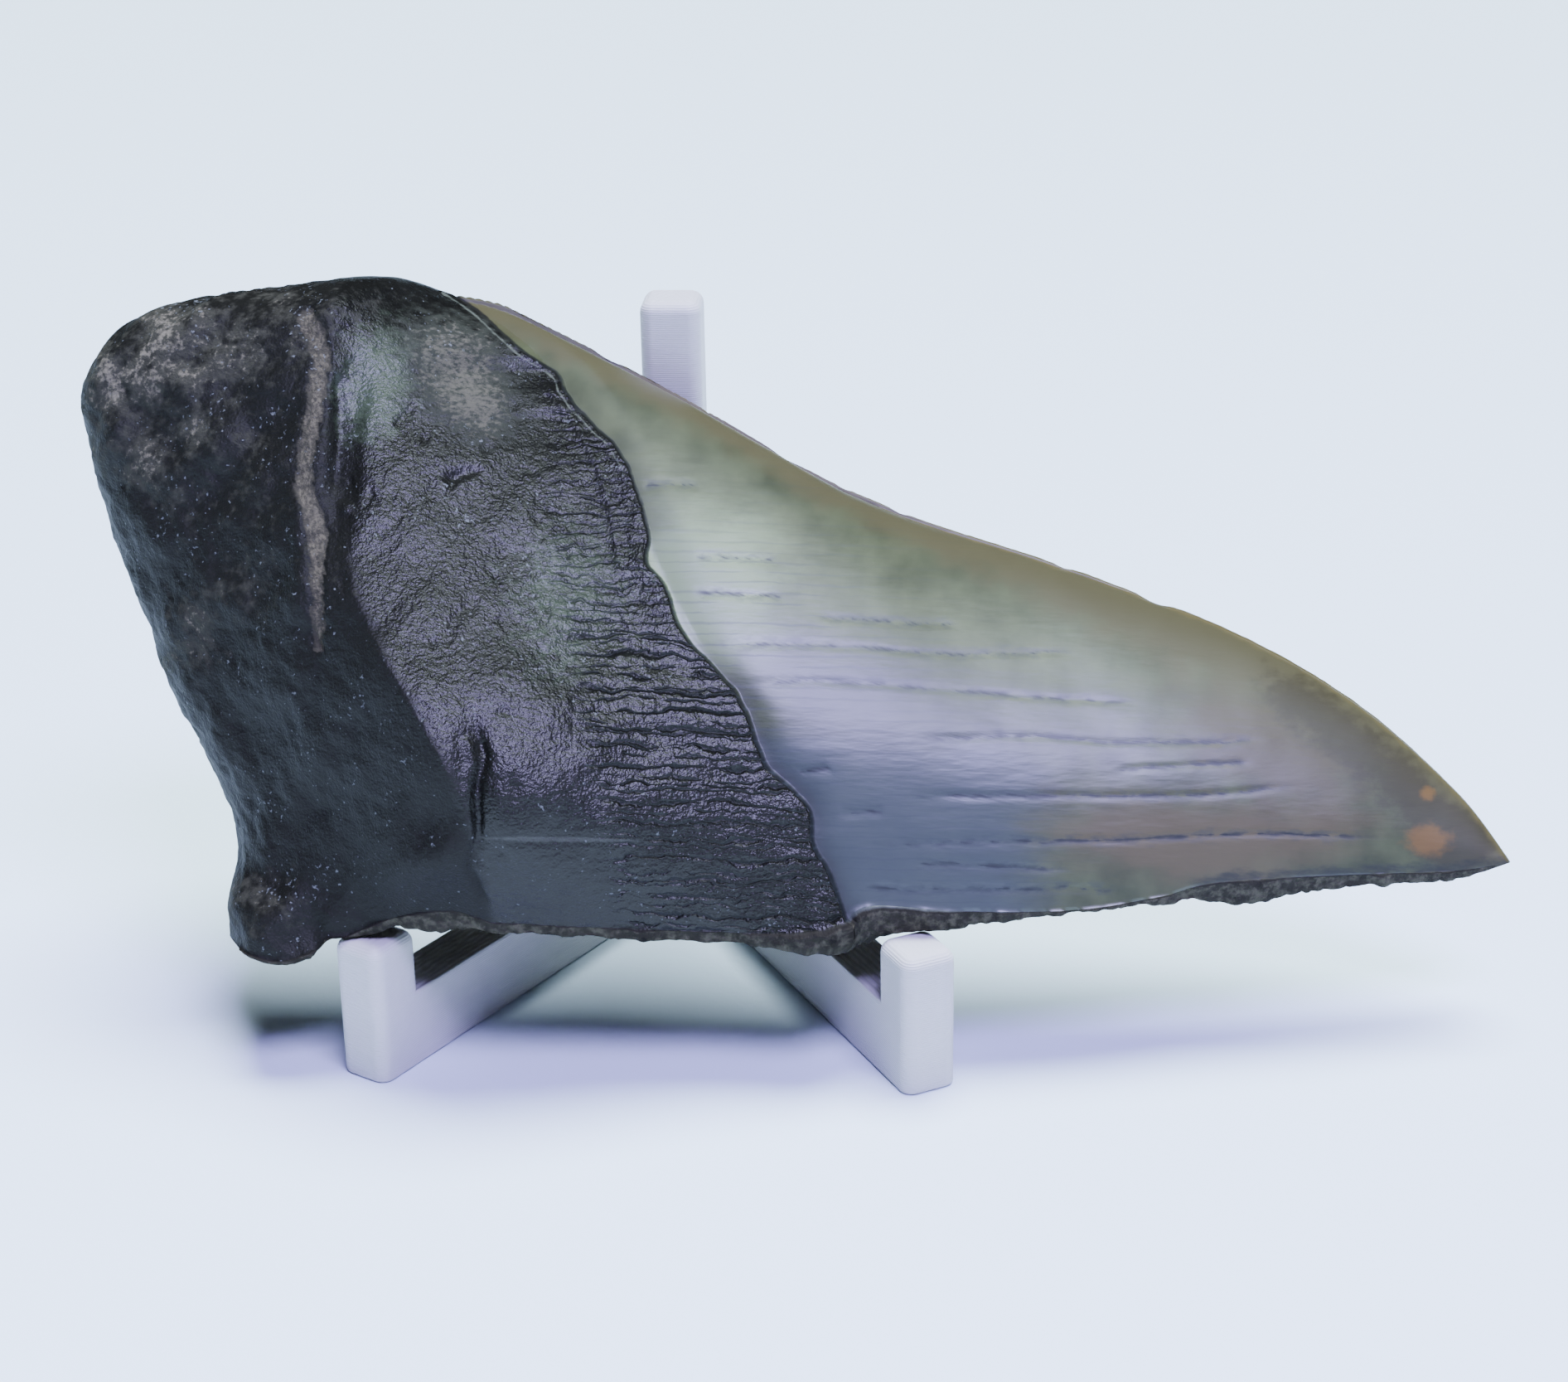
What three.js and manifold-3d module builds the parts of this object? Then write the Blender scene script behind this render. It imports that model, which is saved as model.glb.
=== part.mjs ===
// Half of a big fossil shark tooth, split near its middle, leaning on a small three-legged stand.
// Millimetres, +Z up. X runs along the tooth from root to tip, and the viewer stands on the -Y side.
// The origin is the middle of the underside of the box around the whole object.
import * as THREE from 'three';
import { mergeVertices } from 'three/addons/utils/BufferGeometryUtils.js';
import Module from 'manifold-3d';

// Stand: two arms meet in a V at the back, with a tall post on the V and a low post on each arm's end.
const ARM_REACH = 49.5;
const ARM_SPREAD = THREE.MathUtils.degToRad(30);
const ARM_WIDTH = 4.8;
const ARM_HEIGHT = 7.1;
const ARM_START = -2;
const ARM_LIFT = 0.2;
const FRONT_POST_DEPTH = 5.5;
const FRONT_POST_WIDTH = 5.1;
const FRONT_POST_HEIGHT = 13;
const REAR_POST_SIDE = 5.5;
const REAR_POST_HEIGHT = 59.5;
const REAR_POST_FRONT_Y = -7;
const CORNER_RADIUS = 1.2;
const EDGE_ROUNDING = 0.7;

// Where the tooth rests: its flat back leans on the rear post, its broken side lies on the low posts.
const RESTING_GAP = 0.3;
const LEAN = THREE.MathUtils.degToRad(26);
const BACK_CONTACT_RISE = 39.9;
const BACK_FOOT_Y = REAR_POST_FRONT_Y - RESTING_GAP - BACK_CONTACT_RISE * Math.tan(LEAN);
const BACK_FOOT_Z = FRONT_POST_HEIGHT + RESTING_GAP;

// Tooth outline as [along, up] on its leaning back face; "up" starts level with the low posts' tops.
// It has three parts side by side: the root's base, the root's face and the crown.
const TIP = [75, 1.5];
const CREST_TOP = [-28.3, 51.6];
const CREST_FOOT = [-12.6, -5];
const BOURLETTE_TOP = [-20.1, 51.3];
const BOURLETTE_FOOT = [17.4, -4.4];
const BASE_TOP = [-49.4, 47];
const BASE_FOOT = [-37.3, -6.6];
const BASE_TOP_EDGE = [BASE_TOP, [-44.3, 49.4], [-36, 50.7], CREST_TOP];
const FACE_TOP_EDGE = [CREST_TOP, [-24, 52.2], BOURLETTE_TOP];
const CUTTING_EDGE = [
  BOURLETTE_TOP, [-16, 50.6], [-12.6, 49.1], [-3.5, 44.6], [5.6, 39.6], [14.6, 34.6], [23.5, 31],
  [32.4, 28.2], [44.2, 24.1], [52.9, 20.4], [61.7, 15.2], [70.3, 7.6], TIP,
];
const BASE_EDGE = [
  BASE_TOP, [-51.8, 42.5], [-51.9, 38.3], [-49.1, 28.2], [-46, 20.8], [-43.9, 15.3], [-40.8, 9.8],
  [-38, 4.3], [-37.2, 0.6], [-37.6, -3], BASE_FOOT,
];
const CREST = [
  CREST_TOP, [-27.3, 42], [-26.4, 34], [-24.4, 24], [-21.5, 18], [-18.4, 13], [-15.2, 7.5], [-13.5, 2.5],
  CREST_FOOT,
];
const BOURLETTE = [
  BOURLETTE_TOP, [-11.8, 44.6], [-5.3, 37.9], [-1.2, 31.4], [0.6, 24.5], [4.9, 17.7], [9.5, 10.9], [13.8, 5],
  [16, 0], BOURLETTE_FOOT,
];
const BASE_BREAK = [
  BASE_FOOT, [-34.2, -8.1], [-31, -8.7], [-27.4, -7.4], [-22, -5], [-16.1, -4], CREST_FOOT,
];
const FACE_BREAK = [CREST_FOOT, [2, -5.4], [12.5, -5.4], BOURLETTE_FOOT];
const CROWN_BREAK = [
  BOURLETTE_FOOT, [19.5, -3], [27, -3.4], [36.7, -3.2], [44.2, -1.9], [49.7, -0.5], [62.5, 0.3],
  [70, 0.7], TIP,
];

// How far the break drops below the front surface's lower edge, as [along, drop].
const BREAK_DROP = [
  [-37.3, 0], [-27, 0.4], [-21, 0.8], [-17, 1.9], [-13, 1], [0, 0.9], [12.5, 1.1], [17.4, 2.1], [19.5, 3.2],
  [23.6, 2.2], [27, 1.3], [37, 0.2], [44, 0.6], [50, 1.9], [56, 1.5], [64, 0.9], [71, 0.6], [75, 0],
];
const BREAK_TILT = THREE.MathUtils.degToRad(25);
const BREAK_ROUGHNESS = 0.35;
const BROW_ROUGHNESS = 0.1;
const BROW_SLOPE = 0.7;
const DROP_LIMIT = 0.3;
const SMOOTH_BREAK_ENDS = { base: [-37, -33], tip: [66, 74] };
const POST_MARGIN = 1.6;

// Heights of the front surface over the flat back: [up, height] on the root, [along, height] on the crown.
const CREST_HEIGHT = [[-6, 15], [0, 20.5], [6, 23.5], [13, 23.5], [22, 21], [32, 18], [42, 15.5], [52, 13.5]];
const BASE_HEIGHT = [[-8, 13], [-2, 11], [8, 9.5], [25, 10], [38, 11.5], [52, 11]];
const CROWN_HEIGHT = [
  [-21, 15.5], [5, 15], [17, 14], [32, 11.4], [45, 8.9], [60, 5.6], [69, 3.1], [75, 1.5],
];
const CUTTING_EDGE_HEIGHT = 1.2;
const CROWN_CREST = 0.22;
const LENS_POWER = 1.75;
const BREAK_FALL = 0.08;
const BOURLETTE_STEP = 0.9;
const BACK_BULGE = 1.3;
const MIDDLE_OF_THICKNESS = 0.42;
const BASE_ROUGHNESS = 0.6;
const FACE_ROUGHNESS = 0.2;
const BASE_ROUNDING = 5;
const ROOT_TOP_ROUNDING = 6;
const CUTTING_EDGE_ROUNDING = 0.6;

// Hollows, and bumps where depth is negative: place [along, up], half length and width, turn in degrees.
const HOLLOWS = [
  { at: [-12.7, 3.5], half: [7.5, 1.3], turn: 92, depth: 1.7 },
  { at: [-25.8, 34], half: [9, 1.3], turn: 88, depth: 0.8 },
  { at: [-16.2, 33.2], half: [2, 1.3], turn: 10, depth: 0.9 },
  { at: [-29, 33], half: [14, 1.4], turn: 88, depth: -0.6 },
  { at: [-18.5, -0.5], half: [5, 2.2], turn: 20, depth: -1.4 },
  { at: [-33.5, -4.5], half: [4, 3], turn: -20, depth: -1.6 },
];
const CHIP_REACH = 0.017;
const EDGE_CHIPS = [
  { along: 43.7, half: 1.1, depth: 0.6 },
  { along: 10.7, half: 1, depth: 0.5 },
  { along: -5.4, half: 1, depth: 0.4 },
];

// Grid: columns run from the root's base to the tip, rows from the top edge down to the break.
const BASE_COLUMNS = 15;
const FACE_COLUMNS = 18;
const CROWN_COLUMNS = 34;
const BACK_ROWS = 10;
const FRONT_ROWS_PER_BACK_ROW = 3;
const FRONT_ROWS = BACK_ROWS * FRONT_ROWS_PER_BACK_ROW;
const BREAK_ROWS = 5;
const STEP_WIDTH = 0.006;
const CROWDING = { base: 1.35, face: 1.25, crown: 1 };

const wasm = await Module();
wasm.setup();

const { lerp, smoothstep } = THREE.MathUtils;

// A smooth line through [key, value] points with rising keys, held level past its ends.
function lineThrough(points) {
  const slopes = points.map((point, i) => {
    const before = points[Math.max(i - 1, 0)];
    const after = points[Math.min(i + 1, points.length - 1)];
    return (after[1] - before[1]) / (after[0] - before[0]);
  });
  return (key) => {
    if (key <= points[0][0]) return points[0][1];
    if (key >= points.at(-1)[0]) return points.at(-1)[1];
    const i = points.findIndex((point) => point[0] > key) - 1;
    const span = points[i + 1][0] - points[i][0];
    const k = (key - points[i][0]) / span;
    const rise = slopes[i] * span;
    const fall = slopes[i + 1] * span;
    const [from, to] = [points[i][1], points[i + 1][1]];
    const bend = 3 * (to - from) - 2 * rise - fall;
    return from + k * rise + k * k * bend + k ** 3 * (rise + fall - 2 * (to - from));
  };
}

const curve = (points) => new THREE.SplineCurve(points.map(([x, y]) => new THREE.Vector2(x, y)));

const crest = curve(CREST);
const bourlette = curve(BOURLETTE);
const tip = { getPointAt: () => new THREE.Vector2(...TIP) };
const PARTS = {
  base: { left: curve(BASE_EDGE), right: crest, top: curve(BASE_TOP_EDGE), bottom: curve(BASE_BREAK) },
  face: { left: crest, right: bourlette, top: curve(FACE_TOP_EDGE), bottom: curve(FACE_BREAK) },
  crown: { left: bourlette, right: tip, top: curve(CUTTING_EDGE), bottom: curve(CROWN_BREAK) },
};
const dropAt = lineThrough(BREAK_DROP);
const crestHeightAt = lineThrough(CREST_HEIGHT);
const baseHeightAt = lineThrough(BASE_HEIGHT);
const crownHeightAt = lineThrough(CROWN_HEIGHT);

// A place in a patch between four border curves: ruled both ways, less what the corners count twice.
function placeOn({ part, u }, v) {
  const { left, right, top, bottom } = PARTS[part];
  const lowerCorners = bottom.getPoint(0).lerp(bottom.getPoint(1), u);
  const corners = top.getPoint(0).lerp(top.getPoint(1), u).lerp(lowerCorners, v);
  const across = left.getPointAt(v).lerp(right.getPointAt(v), u);
  return top.getPointAt(u).lerp(bottom.getPointAt(u), v).add(across).sub(corners);
}

// Crown: a lens in section, thickest a fifth of the way up from the break, thin at the cutting edge.
function crownHeight(along, v) {
  const fromBreak = 1 - v;
  const lens = fromBreak > CROWN_CREST
    ? 1 - ((fromBreak - CROWN_CREST) / (1 - CROWN_CREST)) ** LENS_POWER
    : 1 - BREAK_FALL * ((CROWN_CREST - fromBreak) / CROWN_CREST) ** 2;
  return CUTTING_EDGE_HEIGHT + (crownHeightAt(along) - CUTTING_EDGE_HEIGHT) * lens;
}

// Root: rises from its base to the crest, then falls to the bourlette, which stands over the crown.
function smoothHeight({ part, u }, place, v) {
  const fall = (k) => 1 - 0.5 * k - 0.5 * smoothstep(k, 0, 1);
  if (part === 'base') return lerp(baseHeightAt(place.y), crestHeightAt(place.y), fall(1 - u));
  if (part === 'face') {
    const bourletteHeight = crownHeight(bourlette.getPointAt(v).x, v) + BOURLETTE_STEP;
    return lerp(bourletteHeight, crestHeightAt(place.y), fall(u));
  }
  return crownHeight(place.x, v);
}

function hollowDepth(along, up) {
  return HOLLOWS.reduce((sum, { at, half, turn, depth }) => {
    const angle = THREE.MathUtils.degToRad(turn);
    const [dx, dy] = [along - at[0], up - at[1]];
    const lengthwise = (dx * Math.cos(angle) + dy * Math.sin(angle)) / half[0];
    const across = (dy * Math.cos(angle) - dx * Math.sin(angle)) / half[1];
    return sum + depth * Math.exp(-(lengthwise ** 4) - across * across);
  }, 0);
}

// Weathered bone: crossed ripples 6 to 11 mm long.
function lumps(a, b) {
  const longest = Math.sin(0.58 * a + 1.4 * Math.sin(0.47 * b));
  const crossing = Math.sin(0.95 * b + 1.1 * Math.sin(0.7 * a));
  return 0.5 * longest + 0.3 * crossing + 0.2 * Math.sin(1.05 * a - 0.8 * b);
}

const quarterRound = (k) => Math.sqrt(1 - (1 - THREE.MathUtils.clamp(k, 0, 1)) ** 2);

// Height of the front and back surfaces over the flat back, pinched together along the outline.
function surfaces(column, v) {
  const { part, u } = column;
  const place = placeOn(column, v);
  const fromTop = place.distanceTo(placeOn(column, 0));
  const topRounding = lerp(ROOT_TOP_ROUNDING, CUTTING_EDGE_ROUNDING, smoothstep(place.x, -32, -19));
  let front = smoothHeight(column, place, v);
  let round = quarterRound(fromTop / topRounding);
  if (part !== 'crown') {
    const smoother = part === 'base' ? smoothstep(u, 0.6, 1) : 1;
    const roughness = lerp(BASE_ROUGHNESS, FACE_ROUGHNESS, smoother);
    const fadeAtStep = part === 'face' ? 1 - smoothstep(u, 0.8, 1) : 1;
    front += roughness * fadeAtStep * lumps(place.x, place.y) - hollowDepth(place.x, place.y);
  }
  if (part === 'base') round *= quarterRound(place.distanceTo(placeOn({ part, u: 0 }, v)) / BASE_ROUNDING);
  const middle = MIDDLE_OF_THICKNESS * front;
  const bulge = BACK_BULGE * Math.sin(Math.PI * v) * (front / CROWN_HEIGHT[0][1]);
  return {
    front: middle + (front - middle) * round,
    back: middle - (middle + bulge) * round,
  };
}

// Columns as { part, u }: the crown's first one is a little beyond the bourlette, which makes its step.
const columnsOf = (part, count, from) => Array.from({ length: count }, (_, i) => (
  { part, u: lerp(from, 1, (i / count) ** CROWDING[part]) }
));
const columns = [
  ...columnsOf('base', BASE_COLUMNS, 0),
  ...columnsOf('face', FACE_COLUMNS, 0),
  { part: 'face', u: 1 },
  ...columnsOf('crown', CROWN_COLUMNS, STEP_WIDTH),
];
const rowSpread = (k) => lerp(k, k * k, 0.25);

function chipDepth(along, v) {
  const nearEdge = Math.exp(-v / CHIP_REACH);
  return EDGE_CHIPS.reduce((sum, chip) => (
    sum + chip.depth * nearEdge * Math.exp(-(((along - chip.along) / chip.half) ** 2))
  ), 0);
}

// One point of the tooth in its own frame: X along, Y into the back, Z up the leaning face.
const point = (along, up, height) => new THREE.Vector3(along, -height, up);

// Where a point of the tooth lies over a low post, it is lifted clear of the post's top.
function keepClear(position) {
  const y = BACK_FOOT_Y + position.y * Math.cos(LEAN) + position.z * Math.sin(LEAN);
  const z = BACK_FOOT_Z - position.y * Math.sin(LEAN) + position.z * Math.cos(LEAN);
  const side = Math.abs(position.x);
  const outward = side * Math.sin(ARM_SPREAD) - y * Math.cos(ARM_SPREAD);
  const aside = Math.abs(side * Math.cos(ARM_SPREAD) + y * Math.sin(ARM_SPREAD));
  const overPost = aside < FRONT_POST_WIDTH / 2 + POST_MARGIN
    && outward > ARM_REACH - FRONT_POST_DEPTH - POST_MARGIN
    && outward < ARM_REACH + POST_MARGIN;
  const lift = overPost ? Math.max(BACK_FOOT_Z - z, 0) / Math.cos(LEAN) : 0;
  return position.setZ(position.z + lift);
}

// The break starts under the front surface's lower edge, drops a little and then runs back nearly level.
function breakPoint(edge, front, back, k) {
  const drop = Math.min(dropAt(edge.x), DROP_LIMIT * front);
  const brow = front - BROW_SLOPE * drop;
  const height = lerp(brow, back, k);
  const level = (brow - height) * Math.tan(BREAK_TILT);
  const fadeIn = smoothstep(edge.x, ...SMOOTH_BREAK_ENDS.base);
  const fade = fadeIn * (1 - smoothstep(edge.x, ...SMOOTH_BREAK_ENDS.tip));
  const rough = (k === 0 ? BROW_ROUGHNESS : BREAK_ROUGHNESS) * fade * (1 + lumps(1.3 * edge.x, 1.7 * height));
  return point(edge.x, edge.y - drop + level + rough, height);
}

// A closed loop round the tooth: down the front, back along the break and up the flat back.
function loopAt(column) {
  const edge = placeOn(column, 1);
  const { front, back } = surfaces(column, 1);
  const backEdge = breakPoint(edge, front, back, 1);
  const faceRow = (isFront, row, rows) => {
    const v = rowSpread(row / rows);
    const place = placeOn(column, v);
    const heights = surfaces(column, v);
    const chip = chipDepth(place.x, v);
    const shift = isFront ? 0 : (backEdge.z - edge.y) * v * v;
    return point(place.x, place.y - chip + shift, isFront ? heights.front : heights.back);
  };
  const down = Array.from({ length: FRONT_ROWS + 1 }, (_, row) => faceRow(true, row, FRONT_ROWS));
  const across = Array.from({ length: BREAK_ROWS },
    (_, row) => breakPoint(edge, front, back, row / BREAK_ROWS));
  const upward = Array.from({ length: BACK_ROWS }, (_, row) => faceRow(false, BACK_ROWS - row, BACK_ROWS));
  return [...down, ...across, ...upward].map(keepClear);
}

// Two neighbouring loops are joined by a strip. On the root's base the front and the back share one
// edge, so there the back's first strip starts from the front's rows.
function toothGeometry() {
  const loops = columns.map(loopAt);
  const around = loops[0].length;
  const tipIndex = loops.length * around;
  const index = [];
  const at = (loop, row) => loop * around + (row % around);
  const firstBackRow = FRONT_ROWS + BREAK_ROWS + 1;
  for (let loop = 0; loop < loops.length; loop += 1) {
    for (let row = 0; row < around; row += 1) {
      const [a, b] = [at(loop, row), at(loop, row + 1)];
      if (loop === loops.length - 1) {
        index.push(a, b, tipIndex);
      } else if (loop > 0 || row < firstBackRow) {
        index.push(a, b, at(loop + 1, row + 1), a, at(loop + 1, row + 1), at(loop + 1, row));
      } else {
        const frontRow = FRONT_ROWS - (row - firstBackRow) * FRONT_ROWS_PER_BACK_ROW;
        for (let step = 0; step < FRONT_ROWS_PER_BACK_ROW; step += 1) {
          index.push(at(0, frontRow - step), at(0, frontRow - step - 1), at(1, row));
        }
        index.push(at(0, frontRow - FRONT_ROWS_PER_BACK_ROW), at(1, row + 1), at(1, row));
      }
    }
  }
  const places = [...loops.flat(), point(...TIP, MIDDLE_OF_THICKNESS * CUTTING_EDGE_HEIGHT)];
  const geometry = new THREE.BufferGeometry();
  geometry.setAttribute('position', new THREE.Float32BufferAttribute(places.flatMap((p) => p.toArray()), 3));
  geometry.setIndex(index);
  return dropEmptyTriangles(mergeVertices(geometry));
}

function dropEmptyTriangles(geometry) {
  const old = geometry.getIndex().array;
  const kept = [];
  for (let i = 0; i < old.length; i += 3) {
    const [a, b, c] = old.slice(i, i + 3);
    if (a !== b && b !== c && c !== a) kept.push(a, b, c);
  }
  return geometry.setIndex(kept);
}

// A printed bar: a rounded rectangle starting at x = from, with all of its edges rounded.
function bar(from, to, width, height) {
  const [low, high] = [from + CORNER_RADIUS, to - CORNER_RADIUS];
  const side = width / 2 - CORNER_RADIUS;
  const shape = new THREE.Shape();
  shape.absarc(high, -side, CORNER_RADIUS, -Math.PI / 2, 0);
  shape.absarc(high, side, CORNER_RADIUS, 0, Math.PI / 2);
  shape.absarc(low, side, CORNER_RADIUS, Math.PI / 2, Math.PI);
  shape.absarc(low, -side, CORNER_RADIUS, Math.PI, 1.5 * Math.PI);
  const geometry = new THREE.ExtrudeGeometry(shape, {
    depth: height - 2 * EDGE_ROUNDING,
    bevelSize: EDGE_ROUNDING,
    bevelOffset: -EDGE_ROUNDING,
    bevelThickness: EDGE_ROUNDING,
    bevelSegments: 2,
    curveSegments: 3,
  });
  return geometry.translate(0, 0, EDGE_ROUNDING);
}

function toSolid(geometry) {
  const bare = geometry.clone();
  bare.deleteAttribute('normal');
  bare.deleteAttribute('uv');
  const merged = dropEmptyTriangles(mergeVertices(bare));
  return new wasm.Manifold(new wasm.Mesh({
    numProp: 3,
    vertProperties: Float32Array.from(merged.getAttribute('position').array),
    triVerts: Uint32Array.from(merged.getIndex().array),
  }));
}

function toGeometry(solid) {
  const mesh = solid.getMesh();
  const geometry = new THREE.BufferGeometry();
  geometry.setAttribute('position', new THREE.BufferAttribute(mesh.vertProperties, 3));
  geometry.setIndex(new THREE.BufferAttribute(mesh.triVerts, 1));
  return geometry;
}

function standGeometry() {
  const rearPost = bar(-REAR_POST_SIDE, 0, REAR_POST_SIDE, REAR_POST_HEIGHT)
    .rotateZ(-Math.PI / 2)
    .translate(0, REAR_POST_FRONT_Y, 0);
  const pieces = [rearPost];
  for (const side of [-1, 1]) {
    const heading = -Math.PI / 2 + side * ARM_SPREAD;
    const arm = bar(ARM_START, ARM_REACH - FRONT_POST_DEPTH / 2, ARM_WIDTH, ARM_HEIGHT);
    const post = bar(ARM_REACH - FRONT_POST_DEPTH, ARM_REACH, FRONT_POST_WIDTH, FRONT_POST_HEIGHT);
    pieces.push(arm.rotateZ(heading).translate(0, 0, ARM_LIFT), post.rotateZ(heading));
  }
  return toGeometry(pieces.map(toSolid).reduce((whole, piece) => whole.add(piece)));
}

const enamelAndRoot = new THREE.MeshStandardMaterial({ color: '#4a4f53', roughness: 0.42, metalness: 0 });
const whitePlastic = new THREE.MeshStandardMaterial({ color: '#d9dbe2', roughness: 0.5, metalness: 0 });

const tooth = new THREE.Mesh(toothGeometry(), enamelAndRoot);
tooth.name = 'tooth';
tooth.rotation.x = -LEAN;
tooth.position.set(0, BACK_FOOT_Y, BACK_FOOT_Z);

const stand = new THREE.Mesh(standGeometry(), whitePlastic);
stand.name = 'stand';

const display = new THREE.Group();
display.add(tooth, stand);
const reach = new THREE.Box3().setFromObject(display, true);
const middle = reach.getCenter(new THREE.Vector3());
display.position.set(-middle.x, -middle.y, -reach.min.z);

export default display;
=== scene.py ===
"""Half of a big fossil shark tooth leaning on a small printed stand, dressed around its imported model.

The tooth is worked out in its own frame in millimetres: x runs along it from the root to the tip, t goes
up its leaning back, and n stands out from that back towards the viewer. It is then leaned back and set
down on the stand, and every mesh is written in metres.
"""

import logging
import math
from dataclasses import dataclass, field
from enum import Enum

import bmesh
import bpy
import numpy as np
from mathutils import Matrix, Vector


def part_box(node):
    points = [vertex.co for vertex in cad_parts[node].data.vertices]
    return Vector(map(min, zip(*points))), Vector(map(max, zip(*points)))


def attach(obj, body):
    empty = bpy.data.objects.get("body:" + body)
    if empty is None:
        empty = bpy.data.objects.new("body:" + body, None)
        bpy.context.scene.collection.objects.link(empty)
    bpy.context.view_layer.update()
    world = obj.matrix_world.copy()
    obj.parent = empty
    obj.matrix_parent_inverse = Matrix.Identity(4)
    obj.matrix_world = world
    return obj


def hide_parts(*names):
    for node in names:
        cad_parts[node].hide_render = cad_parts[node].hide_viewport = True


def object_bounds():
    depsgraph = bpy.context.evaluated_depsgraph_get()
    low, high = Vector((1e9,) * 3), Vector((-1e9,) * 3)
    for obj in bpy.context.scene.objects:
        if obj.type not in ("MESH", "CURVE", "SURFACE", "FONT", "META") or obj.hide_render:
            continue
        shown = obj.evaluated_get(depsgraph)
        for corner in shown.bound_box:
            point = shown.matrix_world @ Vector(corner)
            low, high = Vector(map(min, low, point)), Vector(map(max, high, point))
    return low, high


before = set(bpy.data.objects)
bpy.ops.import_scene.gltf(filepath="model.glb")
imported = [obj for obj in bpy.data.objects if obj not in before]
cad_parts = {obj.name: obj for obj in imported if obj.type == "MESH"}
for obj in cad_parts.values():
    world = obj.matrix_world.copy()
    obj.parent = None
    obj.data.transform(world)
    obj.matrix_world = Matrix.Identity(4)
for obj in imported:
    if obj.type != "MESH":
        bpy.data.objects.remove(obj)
CAD_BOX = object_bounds()

MM = 0.001
BODY = "root"
Points = tuple[tuple[float, float], ...]
log = logging.getLogger("tooth_display")


def linear(colour: str) -> tuple[float, float, float, float]:
    """Turns an sRGB hex value into Blender's linear colour.

    Args:
        colour: the value, such as "#8a8870".

    Returns:
        Linear red, green, blue and an alpha of one.
    """
    parts = [int(colour[i:i + 2], 16) / 255 for i in (1, 3, 5)]
    red, green, blue = [p / 12.92 if p <= 0.04045 else ((p + 0.055) / 1.055) ** 2.4 for p in parts]
    return red, green, blue, 1.0


def add_node(tree: bpy.types.NodeTree, kind: str, inputs: dict | None = None, **settings) -> bpy.types.Node:
    """Adds one node with its settings, input values and links.

    Args:
        tree: the node tree it goes into.
        kind: Blender's name of the node's type.
        inputs: for each socket's name or number, a value, or another node's output to link.
        settings: properties of the node itself.

    Returns:
        The new node.
    """
    node = tree.nodes.new(kind)
    for name, value in settings.items():
        setattr(node, name, value)
    for key, value in (inputs or {}).items():
        if isinstance(value, bpy.types.NodeSocket):
            tree.links.new(value, node.inputs[key])
        else:
            node.inputs[key].default_value = value
    return node


def smooth_step(value: np.ndarray, low: float, high: float) -> np.ndarray:
    """Eases from 0 at low to 1 at high: 3k squared less 2k cubed, k being the share of the way."""
    share = np.clip((value - low) / (high - low), 0, 1)
    return share * share * (3 - 2 * share)


def mix(low: np.ndarray, high: np.ndarray, share: np.ndarray) -> np.ndarray:
    """Goes in a straight line from low at share 0 to high at share 1."""
    return low + (high - low) * share


def gradient_noise(x: np.ndarray, y: np.ndarray, seed: int) -> np.ndarray:
    """Smooth noise with cells of size one.

    Each corner of a cell has a random slope, and the four slopes' heights are blended by a quintic ease.

    Args:
        x: first coordinate of each point.
        y: second coordinate of each point.
        seed: picks the random slopes.

    Returns:
        Values from about -1 to 1.
    """
    angles = np.random.default_rng(seed).uniform(0, 2 * math.pi, (256, 256))
    column, row = np.floor(x).astype(int), np.floor(y).astype(int)
    dx, dy = x - column, y - row
    ease_x = dx ** 3 * (dx * (6 * dx - 15) + 10)
    ease_y = dy ** 3 * (dy * (6 * dy - 15) + 10)
    heights = []
    for i, j in ((0, 0), (1, 0), (0, 1), (1, 1)):
        angle = angles[(column + i) % 256, (row + j) % 256]
        heights.append(np.cos(angle) * (dx - i) + np.sin(angle) * (dy - j))
    low = mix(heights[0], heights[1], ease_x)
    high = mix(heights[2], heights[3], ease_x)
    return 1.5 * mix(low, high, ease_y)


def layered_noise(x: np.ndarray, y: np.ndarray, size: float, octaves: int, seed: int) -> np.ndarray:
    """Sums octaves of noise, each half as large and half as strong as the one before.

    Args:
        x: first coordinate, in millimetres.
        y: second coordinate, in millimetres.
        size: cell size of the first octave, in millimetres.
        octaves: how many there are.
        seed: picks the random slopes.

    Returns:
        Values from about -1 to 1.
    """
    total = np.zeros_like(x)
    for octave in range(octaves):
        scale = 2 ** octave / size
        total += gradient_noise(x * scale, y * scale, seed + octave) / 2 ** octave
    return total / (2 - 0.5 ** (octaves - 1))


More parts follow.
